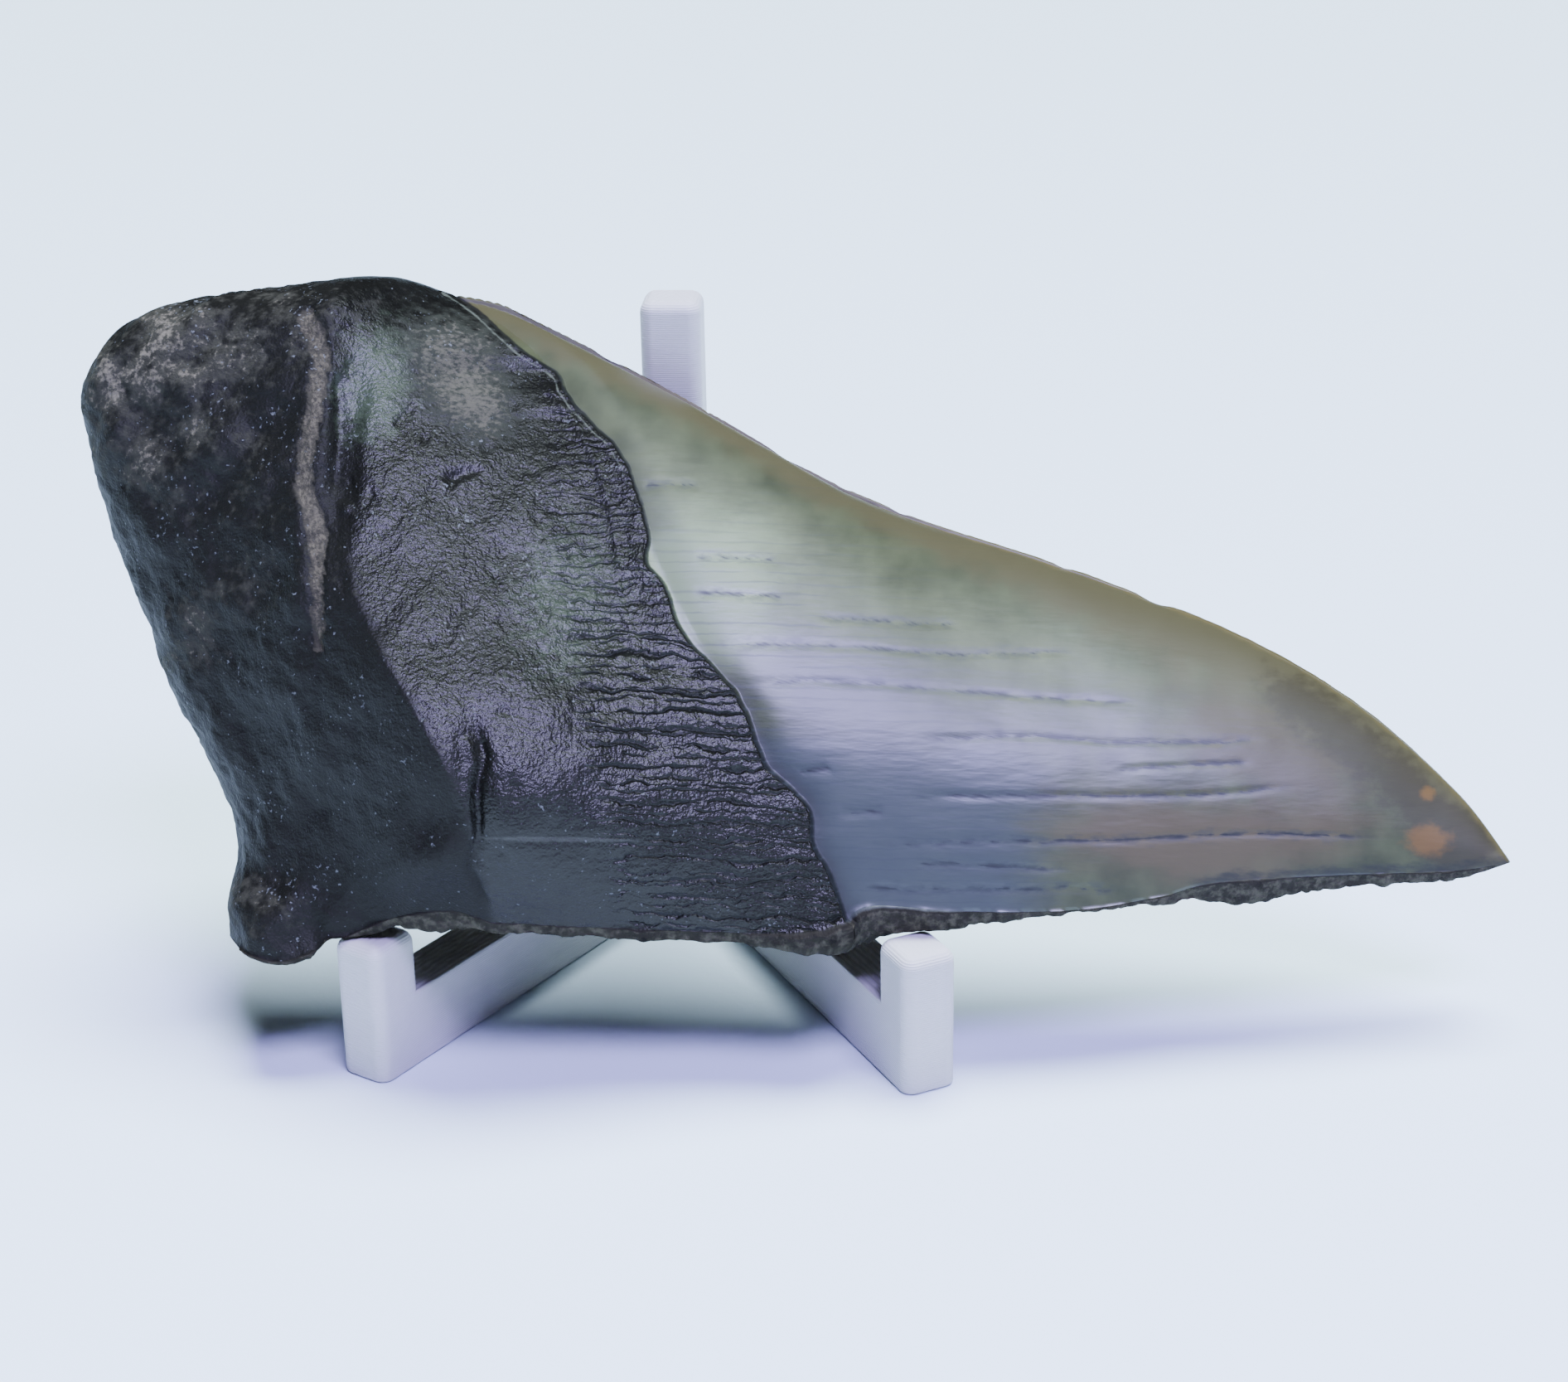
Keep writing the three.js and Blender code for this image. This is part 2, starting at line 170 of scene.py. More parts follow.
def line_distance(x: np.ndarray, y: np.ndarray, points: Points) -> tuple[np.ndarray, np.ndarray, np.ndarray]:
    """Measures how far each place is from a line of straight stretches.

    For each stretch the place is projected on it and held between its ends, and the nearest one counts.

    Args:
        x: first coordinate of each place.
        y: second coordinate of each place.
        points: the line's points.

    Returns:
        The distance, the distance with a minus to the right of the line's direction, and the share of
        the line's length before the nearest place on it.
    """
    line = np.asarray(points, float)
    lengths = np.linalg.norm(np.diff(line, axis=0), axis=1)
    total, before = lengths.sum(), 0.0
    best = np.full(x.shape, np.inf)
    signed, along = np.zeros(x.shape), np.zeros(x.shape)
    for start, end, length in zip(line[:-1], line[1:], lengths):
        step_x, step_y = (end - start) / length
        reach = np.clip((x - start[0]) * step_x + (y - start[1]) * step_y, 0, length)
        off_x, off_y = x - start[0] - reach * step_x, y - start[1] - reach * step_y
        distance = np.hypot(off_x, off_y)
        nearer = distance < best
        best = np.where(nearer, distance, best)
        side = np.where(step_x * off_y - step_y * off_x >= 0, 1.0, -1.0)
        signed = np.where(nearer, side * distance, signed)
        along = np.where(nearer, (before + reach) / total, along)
        before += length
    return best, signed, along


def spot(x: np.ndarray, y: np.ndarray, at: tuple[float, float], half: tuple[float, float],
         turn: float = 0.0, power: int = 2) -> np.ndarray:
    """A soft oval: e to minus the squared distance, each axis measured in its own half size.

    Args:
        x: first coordinate of each place.
        y: second coordinate of each place.
        at: the oval's middle.
        half: its half length and half width.
        turn: how far its length is turned from x, in degrees.
        power: power of the lengthwise distance, 4 giving a flatter top.

    Returns:
        Values from 1 in the middle to 0 far away.
    """
    angle = math.radians(turn)
    dx, dy = x - at[0], y - at[1]
    lengthwise = (dx * math.cos(angle) + dy * math.sin(angle)) / half[0]
    across = (dy * math.cos(angle) - dx * math.sin(angle)) / half[1]
    return np.exp(-np.abs(lengthwise) ** power - across ** 2)


class Track:
    """A smooth curve through a few points, found by the share of its length.

    Between two points it follows the uniform Catmull-Rom cubic, whose slope at a point is half the step
    from the point before to the point after.
    """

    def __init__(self, points: Points, wobble: float = 0.0, wobble_size: float = 2.0) -> None:
        """Lays the curve out finely once.

        Args:
            points: the places it passes through.
            wobble: how far it strays sideways, in millimetres.
            wobble_size: the length of its wobbles, in millimetres.
        """
        knots = np.asarray(points, float)
        last = len(knots) - 1
        place = np.linspace(0, last, 2401)
        i = np.minimum(place.astype(int), last - 1)
        k = (place - i)[:, None]
        before, start = knots[np.maximum(i - 1, 0)], knots[i]
        end, after = knots[i + 1], knots[np.minimum(i + 2, last)]
        start = np.where((i == 0)[:, None], knots[0], start)
        rise, fall = (end - before) / 2, (after - start) / 2
        self.line = start + k * rise + k ** 2 * (3 * (end - start) - 2 * rise - fall)
        self.line = self.line + k ** 3 * (2 * (start - end) + rise + fall)
        self._measure()
        if wobble:
            slope = np.gradient(self.line, axis=0)
            slope /= np.linalg.norm(slope, axis=1)[:, None]
            stray = layered_noise(self.lengths, np.zeros_like(self.lengths), wobble_size, 3, 71)
            ease = np.minimum(1, 4 * np.minimum(self.share, 1 - self.share))
            self.line = self.line + (wobble * stray * ease)[:, None] * slope[:, ::-1] * (1, -1)
            self._measure()

    def _measure(self) -> None:
        """Works out the length of the curve up to each of its fine points."""
        steps = np.linalg.norm(np.diff(self.line, axis=0), axis=1)
        self.lengths = np.concatenate(([0.0], np.cumsum(steps)))
        self.share = self.lengths / self.lengths[-1]

    def at(self, share: np.ndarray) -> np.ndarray:
        """Finds the place after that share of the length, with x and y in the last axis."""
        return np.stack([np.interp(share, self.share, self.line[:, axis]) for axis in (0, 1)], axis=-1)


@dataclass(frozen=True)
class Profile:
    """A smooth line of values over rising keys, held level past its ends.

    Between two points it is the cubic whose slopes are those of the chords around each point.
    """

    points: Points

    def at(self, key: np.ndarray) -> np.ndarray:
        """Finds the value at each key."""
        keys, values = np.asarray(self.points, float).T
        index = np.arange(len(keys))
        before, after = np.maximum(index - 1, 0), np.minimum(index + 1, len(keys) - 1)
        slopes = (values[after] - values[before]) / (keys[after] - keys[before])
        held = np.clip(key, keys[0], keys[-1])
        i = np.clip(np.searchsorted(keys, held, side="right") - 1, 0, len(keys) - 2)
        span = keys[i + 1] - keys[i]
        k = (held - keys[i]) / span
        rise, fall, step = slopes[i] * span, slopes[i + 1] * span, values[i + 1] - values[i]
        return values[i] + k * rise + k ** 2 * (3 * step - 2 * rise - fall) + k ** 3 * (rise + fall - 2 * step)


@dataclass(frozen=True)
class PrintedStand:
    """Two arms that meet in a V at the back, with a tall post on the V and a low post on each end.

    Sizes are in millimetres, and the stand's own origin is the point of the V, on the floor.
    """

    arm_reach: float = 49.5
    arm_spread: float = math.radians(30)
    arm_height: float = 7.1
    arm_start: float = -2.0
    bar_width: float = 5.1
    front_post_depth: float = 5.5
    front_post_height: float = 13.0
    rear_post_side: float = 5.5
    rear_post_height: float = 59.5
    rear_post_front: float = -7.0
    corner_radius: float = 1.2
    top_rounding: float = 1.1
    foot_rounding: float = 0.35
    arm_rounding: float = 0.25
    corner_steps: int = 8
    string_radius: float = 0.11
    skin: float = 0.02

    @property
    def origin(self) -> np.ndarray:
        """The point of the V in the part's frame, found from the stand's box: its arms mirror each other
        about x, and the rounded start of an arm is what reaches furthest back."""
        low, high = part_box("stand")
        back = -(self.arm_start + self.corner_radius) * math.cos(self.arm_spread)
        cad_half_width = 2.4
        back += (cad_half_width - self.corner_radius) * math.sin(self.arm_spread) + self.corner_radius
        return np.array([(low.x + high.x) / 2 / MM, high.y / MM - back, 0.0])

    def bar(self, start: float, end: float, width: float, height: float, heading: float,
            top_rounding: float, at: tuple[float, float] = (0.0, 0.0)) -> bpy.types.Object:
        """Builds one upright rounded block.

        Its outline is a rectangle with round corners. The outline is stacked in levels, drawn in by the
        rounding less its circle's half chord at the foot and at the top.

        Args:
            start: where the block starts along its heading.
            end: where it ends.
            width: its width.
            height: its height.
            heading: the direction of its length, as an angle from x.
            top_rounding: radius of its top edge.
            at: where the heading starts from.

        Returns:
            The block as an object in metres.
        """
        radius, steps = self.corner_radius, self.corner_steps
        turn = np.linspace(0, math.pi / 2, steps + 1)
        angles = np.concatenate([turn + quarter * math.pi / 2 for quarter in range(4)])
        signs_x = np.repeat([1, -1, -1, 1], steps + 1)
        signs_y = np.repeat([1, 1, -1, -1], steps + 1)
        middle, half = (start + end) / 2, (end - start) / 2
        quarter = np.linspace(0, math.pi / 2, 6)
        inset = np.concatenate([self.foot_rounding * (1 - np.sin(quarter)), top_rounding * (1 - np.cos(quarter))])
        level = np.concatenate([self.foot_rounding * (1 - np.cos(quarter)),
                                height - top_rounding * (1 - np.sin(quarter))])
        out_x = signs_x * (half - radius) + np.cos(angles) * (radius - inset[:, None])
        out_y = signs_y * (width / 2 - radius) + np.sin(angles) * (radius - inset[:, None])
        along = middle + out_x
        x = at[0] + along * math.cos(heading) - out_y * math.sin(heading)
        y = at[1] + along * math.sin(heading) + out_y * math.cos(heading)
        z = np.broadcast_to(level[:, None], x.shape)
        places = (np.stack([x, y, z], axis=-1) + self.origin) * MM
        levels, around = x.shape
        grid = np.arange(levels * around).reshape(levels, around)
        ahead = np.roll(grid, -1, axis=1)
        sides = np.stack([grid[:-1], ahead[:-1], ahead[1:], grid[1:]], axis=-1).reshape(-1, 4)
        faces = sides.tolist() + [grid[0, ::-1].tolist(), grid[-1].tolist()]
        mesh = bpy.data.meshes.new("bar")
        mesh.from_pydata(places.reshape(-1, 3).tolist(), [], faces)
        block = bpy.data.objects.new("bar", mesh)
        bpy.context.scene.collection.objects.link(block)
        return block

    def strings(self) -> tuple[np.ndarray, list]:
        """Makes the hairs of plastic left on the right low post, as thin tubes on curling paths.

        A path is a half turn that shrinks and rises as it goes, and a tube's rings stand across it.

        Returns:
            The tubes' places in metres, and their faces.
        """
        heading = -math.pi / 2 + self.arm_spread
        inner = self.arm_reach - self.front_post_depth
        post = np.array([math.cos(heading), math.sin(heading), 0.0])
        aside = np.array([-math.sin(heading), math.cos(heading), 0.0])
        root = post * (inner - 0.05) + np.array([0, 0, self.arm_height + 1.6]) - aside * 0.6
        vertices, faces = [], []
        curls = ((1.6, 0.7, 1.9, 0.0), (1.2, -0.8, 2.6, 1.0), (2.1, 0.2, 1.5, 2.2), (1.1, 0.9, 3.1, 3.6))
        for reach, rise, bend, phase in curls:
            k = np.linspace(0, 1, 26)[:, None]
            swing = bend * 1.4 * k + phase
            path = root + (-post * np.sin(swing) + aside * np.cos(swing)) * reach * k * (1 - 0.35 * k)
            path = path + np.array([0, 0, 1.0]) * rise * np.sin(2.4 * k) * (1 - 0.3 * k)
            slope = np.gradient(path, axis=0)
            slope /= np.linalg.norm(slope, axis=1)[:, None]
            side = np.cross(slope, (0.2, 0.3, 0.93))
            side /= np.linalg.norm(side, axis=1)[:, None]
            up = np.cross(side, slope)
            ring = np.linspace(0, 2 * math.pi, 6, endpoint=False)
            thin = self.string_radius * (1 - 0.6 * k)
            tube = path[:, None] + thin[:, None] * (side[:, None] * np.cos(ring)[:, None]
                                                    + up[:, None] * np.sin(ring)[:, None])
            grid = np.arange(tube.shape[0] * 6).reshape(-1, 6) + sum(map(len, vertices))
            ahead = np.roll(grid, -1, axis=1)
            faces += np.stack([grid[:-1], ahead[:-1], ahead[1:], grid[1:]], axis=-1).reshape(-1, 4).tolist()
            faces += [grid[0, ::-1].tolist(), grid[-1].tolist()]
            vertices.append(tube.reshape(-1, 3))
        return (np.concatenate(vertices) + self.origin) * MM, faces

    def build(self) -> bpy.types.Object:
        """Joins the bars into one solid and adds the hairs.

        Returns:
            The finished stand, riding on the body and standing for its CAD node.
        """
        blocks = [self.bar(-self.rear_post_side, 0.0, self.rear_post_side, self.rear_post_height, math.pi / 2,
                           self.top_rounding, (0.0, self.rear_post_front + self.rear_post_side))]
        for side in (-1, 1):
            heading = -math.pi / 2 + side * self.arm_spread
            low_post = self.arm_reach - self.front_post_depth
            narrower = self.bar_width - self.skin
            height = self.arm_height + side * self.skin
            blocks.append(self.bar(self.arm_start, self.arm_reach - self.skin, narrower, height, heading,
                                   self.arm_rounding))
            blocks.append(self.bar(low_post, self.arm_reach, self.bar_width, self.front_post_height, heading,
                                   self.top_rounding))
        whole = blocks[0]
        for block in blocks[1:]:
            whole.modifiers.new("join", "BOOLEAN")
            whole.modifiers["join"].operation = "UNION"
            whole.modifiers["join"].solver = "EXACT"
            whole.modifiers["join"].object = block
            joined = bpy.data.meshes.new_from_object(whole.evaluated_get(bpy.context.evaluated_depsgraph_get()))
            whole.modifiers.clear()
            whole.data = joined
        places, faces = self.strings()
        hairs = bpy.data.meshes.new("hairs")
        hairs.from_pydata(places.tolist(), [], faces)
        sheet = bmesh.new()
        sheet.from_mesh(whole.data)
        bmesh.ops.remove_doubles(sheet, verts=sheet.verts, dist=0.002 * MM)
        sheet.from_mesh(hairs)
        mesh = bpy.data.meshes.new("printed_stand")
        sheet.to_mesh(mesh)
        sheet.free()
        for block in blocks:
            bpy.data.objects.remove(block)
        mesh.shade_smooth()
        mesh.set_sharp_from_angle(angle=math.radians(40))
        piece = bpy.data.objects.new("printed_stand", mesh)
        bpy.context.scene.collection.objects.link(piece)
        weighted = piece.modifiers.new("flat_sides", "WEIGHTED_NORMAL")
        weighted.keep_sharp = True
        mesh.materials.append(WhitePrint(self).material())
        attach(piece, BODY)
        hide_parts("stand")
        return piece


@dataclass(frozen=True)
class WhitePrint:
    """PLA laid down in 0.2 mm layers by a desktop printer: a soft satin white, with fine level lines on
    its sides and the nozzle's 0.45 mm tracks running along the tops of the arms."""

    stand: PrintedStand
    colour: str = "#c9c7c5"
    shade: str = "#bab8b6"
    layer_mm: float = 0.2
    track_mm: float = 0.62
    layer_depth_mm: float = 0.012
    track_depth_mm: float = 0.08

    def material(self) -> bpy.types.Material:
        """Builds the material; patterns read Object coordinates, which are the part's own metres."""
        material = bpy.data.materials.new("printed_white_plastic")
        material.use_nodes = True
        tree = material.node_tree
        shader = tree.nodes["Principled BSDF"]
        origin = self.stand.origin * MM
        spread = self.stand.arm_spread
        place = add_node(tree, "ShaderNodeTexCoord").outputs["Object"]
        axes = add_node(tree, "ShaderNodeSeparateXYZ", {0: place})
        off_x = add_node(tree, "ShaderNodeMath", {0: axes.outputs[0], 1: -float(origin[0])}, operation="ADD")
        side = add_node(tree, "ShaderNodeMath", {0: off_x.outputs[0]}, operation="ABSOLUTE")
        off_y = add_node(tree, "ShaderNodeMath", {0: axes.outputs[1], 1: -float(origin[1])}, operation="ADD")
        part_x = add_node(tree, "ShaderNodeMath", {0: side.outputs[0], 1: math.cos(spread)}, operation="MULTIPLY")
        across = add_node(tree, "ShaderNodeMath", {0: off_y.outputs[0], 1: math.sin(spread), 2: part_x.outputs[0]},
                          operation="MULTIPLY_ADD")
        wander = add_node(tree, "ShaderNodeTexNoise", {"Vector": place, "Scale": 1 / (9 * MM), "Detail": 2.0})
        bent = add_node(tree, "ShaderNodeMath", {0: wander.outputs[0], 1: 1.4 * MM, 2: across.outputs[0]},
                        operation="MULTIPLY_ADD")
        tracks = add_node(tree, "ShaderNodeMath", {0: bent.outputs[0], 1: 2 * math.pi / (self.track_mm * MM)},
                          operation="MULTIPLY")
        track_wave = add_node(tree, "ShaderNodeMath", {0: tracks.outputs[0]}, operation="SINE")
        layers = add_node(tree, "ShaderNodeMath", {0: axes.outputs[2], 1: 2 * math.pi / (self.layer_mm * MM)},
                          operation="MULTIPLY")
        layer_wave = add_node(tree, "ShaderNodeMath", {0: layers.outputs[0]}, operation="SINE")
        facing = add_node(tree, "ShaderNodeSeparateXYZ",
                          {0: add_node(tree, "ShaderNodeNewGeometry").outputs["True Normal"]})
        level = add_node(tree, "ShaderNodeMapRange", {0: facing.outputs[2], 1: 0.9, 2: 0.99})
        arm_top = self.stand.arm_height * MM
        low_down = add_node(tree, "ShaderNodeMapRange",
                            {0: axes.outputs[2], 1: arm_top + MM, 2: arm_top + 2 * MM, 3: 1.0, 4: 0.15})
        flat = add_node(tree, "ShaderNodeMath", {0: level.outputs[0], 1: low_down.outputs[0]},
                        operation="MULTIPLY")
        deep_tracks = add_node(tree, "ShaderNodeMath", {0: track_wave.outputs[0], 1: self.track_depth_mm * MM},
                               operation="MULTIPLY")
        deep_layers = add_node(tree, "ShaderNodeMath", {0: layer_wave.outputs[0], 1: self.layer_depth_mm * MM},
                               operation="MULTIPLY")
        relief = add_node(tree, "ShaderNodeMix", {0: flat.outputs[0], 2: deep_layers.outputs[0],
                                                  3: deep_tracks.outputs[0]}, data_type="FLOAT")
        bump = add_node(tree, "ShaderNodeBump", {"Height": relief.outputs[0], "Distance": 1.0})
        mottle = add_node(tree, "ShaderNodeTexNoise", {"Vector": place, "Scale": 1 / (6 * MM), "Detail": 3.0})
        track_shade = add_node(tree, "ShaderNodeMath", {0: track_wave.outputs[0], 1: flat.outputs[0]},
                               operation="MULTIPLY")
        tone = add_node(tree, "ShaderNodeMath", {0: track_shade.outputs[0], 1: 0.4, 2: mottle.outputs[0]},
                        operation="MULTIPLY_ADD", use_clamp=True)
        colour = add_node(tree, "ShaderNodeMix", {0: tone.outputs[0], 6: linear(self.colour),
                                                  7: linear(self.shade)}, data_type="RGBA")
        tree.links.new(colour.outputs[2], shader.inputs["Base Color"])
        tree.links.new(bump.outputs[0], shader.inputs["Normal"])
        shader.inputs["Roughness"].default_value = 0.42
        shader.inputs["IOR"].default_value = 1.46
        shader.inputs["Subsurface Weight"].default_value = 0.08
        shader.inputs["Subsurface Radius"].default_value = (1.0, 1.0, 1.1)
        shader.inputs["Subsurface Scale"].default_value = 1.2 * MM
        return material


class Zone(Enum):
    """The three stretches of the tooth's front, side by side from root to tip."""

    BASE = 0
    FACE = 1
    CROWN = 2


@dataclass(frozen=True)
class Mark:
    """A narrow line cut into the surface, or raised from it, on the tooth's front.

    Its cross-section is e to minus the squared distance in half widths, and it thins out at both ends.
    """

    points: Points
    half_width: float
    depth: float


@dataclass(frozen=True)
class Hollow:
    """A soft oval sunk into the root, or a bump where its depth is negative."""

    at: tuple[float, float]
    half: tuple[float, float]
    turn: float
    depth: float


@dataclass(frozen=True)
class ToothShape:
    """The half tooth as a surface over its own flat back, in millimetres.

    Each zone is a patch between four border curves, ruled both ways less what its corners count twice;
    u runs across it from root to tip and v down it from the top edge to the break.
    """

    lean: float = math.radians(26)
    resting_gap: float = 0.3
    back_contact_rise: float = 39.9
    tip: tuple[float, float] = (75, 1.5)
    base_top: Points = ((-49.4, 47), (-44.3, 49.4), (-36, 50.7), (-28.3, 51.6))
    face_top: Points = ((-28.3, 51.6), (-24, 52.2), (-20.1, 51.3))
    cutting_edge: Points = (
        (-20.1, 51.3), (-16, 50.6), (-12.6, 49.1), (-3.5, 44.6), (5.6, 39.6), (14.6, 34.6), (23.5, 31),
        (32.4, 28.2), (44.2, 24.1), (52.9, 20.4), (61.7, 15.2), (70.3, 7.6), (75, 1.5),
    )
    base_edge: Points = (
        (-49.4, 47), (-51.8, 42.5), (-51.9, 38.3), (-49.1, 28.2), (-46, 20.8), (-43.9, 15.3), (-40.8, 9.8),
        (-38, 4.3), (-37.2, 0.6), (-37.6, -3), (-37.3, -6.6),
    )
    crest: Points = (
        (-28.3, 51.6), (-27.3, 42), (-26.4, 34), (-24.4, 24), (-21.5, 18), (-18.4, 13), (-15.2, 7.5),
        (-13.5, 2.5), (-12.6, -5),
    )
    bourlette: Points = (
        (-20.1, 51.3), (-17.2, 49.3), (-13.8, 46.2), (-11.8, 44.6), (-9.3, 43), (-8.1, 40.8), (-5.3, 37.9),
        (-3.3, 35.9), (-1.2, 31.4), (-0.3, 28.4), (-0.3, 25.7), (1.4, 23.8), (2.6, 20.5), (4.9, 17.7),
        (7.4, 15.2), (8.6, 13.3), (9.5, 10.9), (10.6, 8.5), (12.9, 6.4), (14.3, 4.6), (14.5, 2.1), (15.9, -0.3),
        (17.4, -4.4),
    )
    base_break: Points = (
        (-37.3, -6.6), (-34.2, -8.1), (-31, -8.7), (-27.4, -7.4), (-22, -5), (-16.1, -4), (-12.6, -5),
    )
    face_break: Points = ((-12.6, -5), (2, -5.4), (12.5, -5.4), (17.4, -4.4))
    crown_break: Points = (
        (17.4, -4.4), (19.5, -3), (27, -3.4), (36.7, -3.2), (44.2, -1.9), (49.7, -0.5), (62.5, 0.3), (70, 0.7),
        (75, 1.5),
    )
    break_drop: Profile = Profile((
        (-37.3, 0), (-27, 0.4), (-21, 0.8), (-17, 1.9), (-13, 1), (0, 0.9), (12.5, 1.1), (17.4, 2.1),
        (19.5, 3.2), (23.6, 2.2), (27, 1.3), (37, 0.2), (44, 0.6), (50, 1.9), (56, 1.5), (64, 0.9),
        (71, 0.6), (75, 0),
    ))
    break_tilt: float = math.radians(25)
    brow_slope: float = 0.7
    drop_limit: float = 0.3
    crest_height: Profile = Profile(
        ((-6, 15), (0, 20.5), (6, 23.5), (13, 23.5), (22, 21), (32, 18), (42, 15.5), (52, 13.5)))
    base_height: Profile = Profile(((-8, 13), (-2, 11), (8, 9.5), (25, 10), (38, 11.5), (52, 11)))
    crown_height: Profile = Profile(
        ((-21, 15.5), (5, 15), (17, 14), (32, 11.4), (45, 8.9), (60, 5.6), (69, 3.1), (75, 1.5)))
    cutting_edge_height: float = 1.2
    crown_crest: float = 0.22
    lens_power: float = 1.75
    break_fall: float = 0.08
    bourlette_step: Profile = Profile(((0, 0.45), (0.35, 0.5), (0.7, 0.95), (1, 1.0)))
    back_bulge: float = 1.3
    middle_of_thickness: float = 0.42
    base_lumps: float = 0.6
    face_lumps: float = 0.15
    base_rounding: float = 5.0
    root_top_rounding: float = 6.0
    cutting_edge_rounding: float = 0.6
    hollows: tuple[Hollow, ...] = (
        Hollow((-12.9, 5.5), (6.5, 1.3), 94, 0.6),
        Hollow((-25.8, 34), (9, 1.3), 88, 0.8),
        Hollow((-16.2, 33.4), (1.3, 0.6), 10, 0.12),
        Hollow((-29, 33), (14, 1.4), 88, -0.6),
        Hollow((-18.5, -0.5), (5, 2.2), 20, -1.4),
        Hollow((-33.5, -4.5), (4, 3), -20, -1.6),
    )
    edge_chips: tuple[tuple[float, float, float], ...] = (
        (43.7, 1.1, 0.6), (10.7, 1.0, 0.5), (-5.4, 1.0, 0.4), (21.1, 0.7, 0.25), (15.9, 0.6, 0.2),
        (3.4, 0.3, 0.3), (35.6, 0.5, 0.2),
    )
    chip_reach: float = 0.017
    serration_pitch: float = 0.87
    serration_depth: float = 0.2
    base_columns: int = 74
    face_columns: int = 100
    crown_columns: int = 254
    crowding: tuple[float, float, float] = (1.2, 1.1, 1.3)
    back_rows: int = 33
    front_rows_per_back_row: int = 5
    brow_rows: int = 7
    break_rows: int = 21
    step_width: float = 0.003

    def patches(self) -> dict[Zone, tuple[Track, Track, Track, Track]]:
        """Gives each zone's left, right, top and bottom border curves."""
        crest = Track(self.crest)
        bourlette = Track(self.bourlette, wobble=0.28, wobble_size=2.4)
        tip = Track((self.tip, (self.tip[0] + 1e-6, self.tip[1])))
        return {
            Zone.BASE: (Track(self.base_edge), crest, Track(self.base_top), Track(self.base_break)),
            Zone.FACE: (crest, bourlette, Track(self.face_top), Track(self.face_break)),
            Zone.CROWN: (bourlette, tip, Track(self.cutting_edge), Track(self.crown_break)),
        }


@dataclass
class ToothGrid:
    """Everything known at each point of the tooth's grid, as arrays of columns by rows.

    A column is a closed loop: down the front, back along the break and up the back.
    """

    x: np.ndarray
    t: np.ndarray
    n: np.ndarray
    zone: np.ndarray
    front: np.ndarray
    back: np.ndarray
    broken: np.ndarray
    relief: np.ndarray = field(default_factory=lambda: np.zeros(1))
    masks: dict[str, np.ndarray] = field(default_factory=dict)


